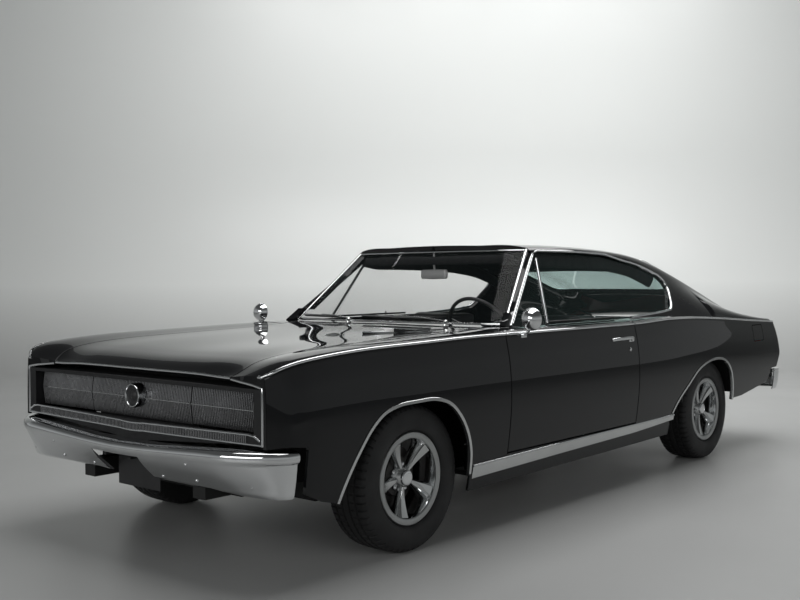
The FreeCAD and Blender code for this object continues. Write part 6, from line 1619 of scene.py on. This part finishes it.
# %% Finishes for the parts underneath
STAYING = {
    PAINT: ("cowl", "tail_panel"),
    DARK: ("grille_surround",),
    LAMP_RED: ("tail_lamp",),
    GLASS: ("door_glass_left", "door_glass_right", "quarter_glass"),
    UNDER: ("floor_pan", "front_frame", "fuel_tank", "front_suspension"),
    IRON: ("engine", "rear_axle", "leaf_springs", "knuckle_left", "knuckle_right"),
    PIPE: ("exhaust",),
}
for material, names in STAYING.items():
    for name in names:
        for place in range(len(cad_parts[name].data.materials)):
            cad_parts[name].data.materials[place] = material
print(sum(len(names) for names in STAYING.values()), "solids keep their own shape")

# %% [markdown]
# The floor curves up into a wall, so there is no corner behind the car. It is pale below and paler above.
# The sheet is clear from its back, so it never hides the car in a view from behind.
# Black paint shows only what it mirrors. So the wall is bright, the air overhead is dim, and one wide soft box
# above gives the roof and the deck their sheen. The camera stands low at the left front corner.

# %% Studio


def studio_paint():
    """Pale floor that turns lighter as it climbs the wall. Its back is clear, so the car is seen from behind too."""
    material = finish("studio_floor", (0.36, 0.365, 0.36), rough=(0.32, 0.42), scale=0.8, tint=0.97)
    tree = material.node_tree
    surface = tree.nodes["Principled BSDF"]
    place, split = node(tree, "NewGeometry"), node(tree, "SeparateXYZ")
    climb = node(tree, "MapRange", From_Min=0.02, From_Max=1.1)
    mix = node(tree, "Mix")
    mix.data_type = "RGBA"
    floor_color = surface.inputs["Base Color"].links[0].from_socket
    tree.links.new(place.outputs["Position"], split.inputs["Vector"])
    tree.links.new(split.outputs["Z"], climb.inputs["Value"])
    tree.links.new(climb.outputs["Result"], mix.inputs["Factor"])
    tree.links.new(floor_color, mix.inputs["A"])
    mix.inputs["B"].default_value = (0.74, 0.755, 0.74, 1)
    tree.links.new(mix.outputs["Result"], surface.inputs["Base Color"])
    clear, sides = node(tree, "BsdfTransparent"), node(tree, "MixShader")
    tree.links.new(place.outputs["Backfacing"], sides.inputs[0])
    tree.links.new(surface.outputs["BSDF"], sides.inputs[1])
    tree.links.new(clear.outputs["BSDF"], sides.inputs[2])
    tree.links.new(sides.outputs["Shader"], tree.nodes["Material Output"].inputs["Surface"])
    return material


def studio_floor():
    """One sheet: flat under the car, then a quarter round, then the wall, square to the camera's view."""
    near, far, radius, rise, half = -14.0, 6.0, 3.0, 7.0, 16.0
    bend = [(far + radius * math.sin(a), radius - radius * math.cos(a)) for a in np.linspace(0, math.pi / 2, 16)]
    line = [(near, 0.0)] + bend + [(far + radius, rise)]
    away, side = Vector((-0.654, 0.757, 0.0)), Vector((0.757, 0.654, 0.0))
    points = [away * d + side * u + Vector((0, 0, z)) for u in (-half, half) for d, z in line]
    n = len(line)
    mesh = bpy.data.meshes.new("studio_floor")
    mesh.from_pydata([tuple(p) for p in points], [], [(n + i, n + i + 1, i + 1, i) for i in range(n - 1)])
    mesh.shade_smooth()
    mesh.materials.append(studio_paint())
    floor = bpy.data.objects.new("studio_floor", mesh)
    bpy.context.collection.objects.link(floor)


def soft_light(name, place, target, size, power, mirrored=True):
    """A soft box: a rectangle of light that faces a target. The paint can be kept from mirroring it."""
    data = bpy.data.lights.new(name, "AREA")
    data.shape, data.size, data.size_y, data.energy = "RECTANGLE", size[0], size[1], power
    light = bpy.data.objects.new(name, data)
    bpy.context.collection.objects.link(light)
    light.location = place
    light.visible_glossy = mirrored
    light.rotation_euler = (Vector(target) - Vector(place)).to_track_quat("-Z", "Y").to_euler()


def studio_air():
    """Light from the room itself: brightest level with the eye, dim overhead."""
    world = bpy.data.worlds.new("studio_air")
    world.use_nodes = True
    tree = world.node_tree
    place, split = node(tree, "TexCoord"), node(tree, "SeparateXYZ")
    level = node(tree, "MapRange", From_Min=0.1, From_Max=0.55, To_Min=0.34, To_Max=0.07)
    tree.links.new(place.outputs["Generated"], split.inputs["Vector"])
    tree.links.new(split.outputs["Z"], level.inputs["Value"])
    tree.links.new(level.outputs["Result"], tree.nodes["Background"].inputs["Strength"])
    tree.nodes["Background"].inputs["Color"].default_value = (0.93, 0.96, 0.96, 1)
    bpy.context.scene.world = world


studio_floor()
studio_air()
soft_light("ceiling", (0.3, 1.6, 5.0), (0.3, 1.6, 0.0), (3.4, 9.5), 300)
soft_light("left_side", (7.5, -2.0, 2.4), (0.0, -0.6, 0.7), (6.0, 2.0), 120, mirrored=False)
soft_light("front", (0.5, -8.0, 2.6), (0.0, -1.0, 0.7), (5.0, 1.6), 90)
soft_light("wall_wash", (-2.6, 4.0, 6.6), (-5.9, 6.8, 1.4), (9.0, 1.6), 330)
print("studio ready")

# %% Camera
CAMERA_PLACE = (3.747, -5.056, 1.201)
YAW, PITCH, ROLL_ANGLE = math.radians(40.825), math.radians(-1.331), math.radians(0.397)
camera_data = bpy.data.cameras.new("camera")
camera_data.lens, camera_data.sensor_width = 46.43, 36.0
camera = bpy.data.objects.new("camera", camera_data)
bpy.context.collection.objects.link(camera)
camera.location = CAMERA_PLACE
look = Vector((-math.sin(YAW) * math.cos(PITCH), math.cos(YAW) * math.cos(PITCH), math.sin(PITCH)))
upright = look.to_track_quat("-Z", "Y").to_matrix()
camera.rotation_euler = (upright @ Matrix.Rotation(-ROLL_ANGLE, 3, "Z")).to_euler()
bpy.context.scene.camera = camera
bpy.context.scene.view_settings.view_transform = "Standard"
print("camera at", CAMERA_PLACE)
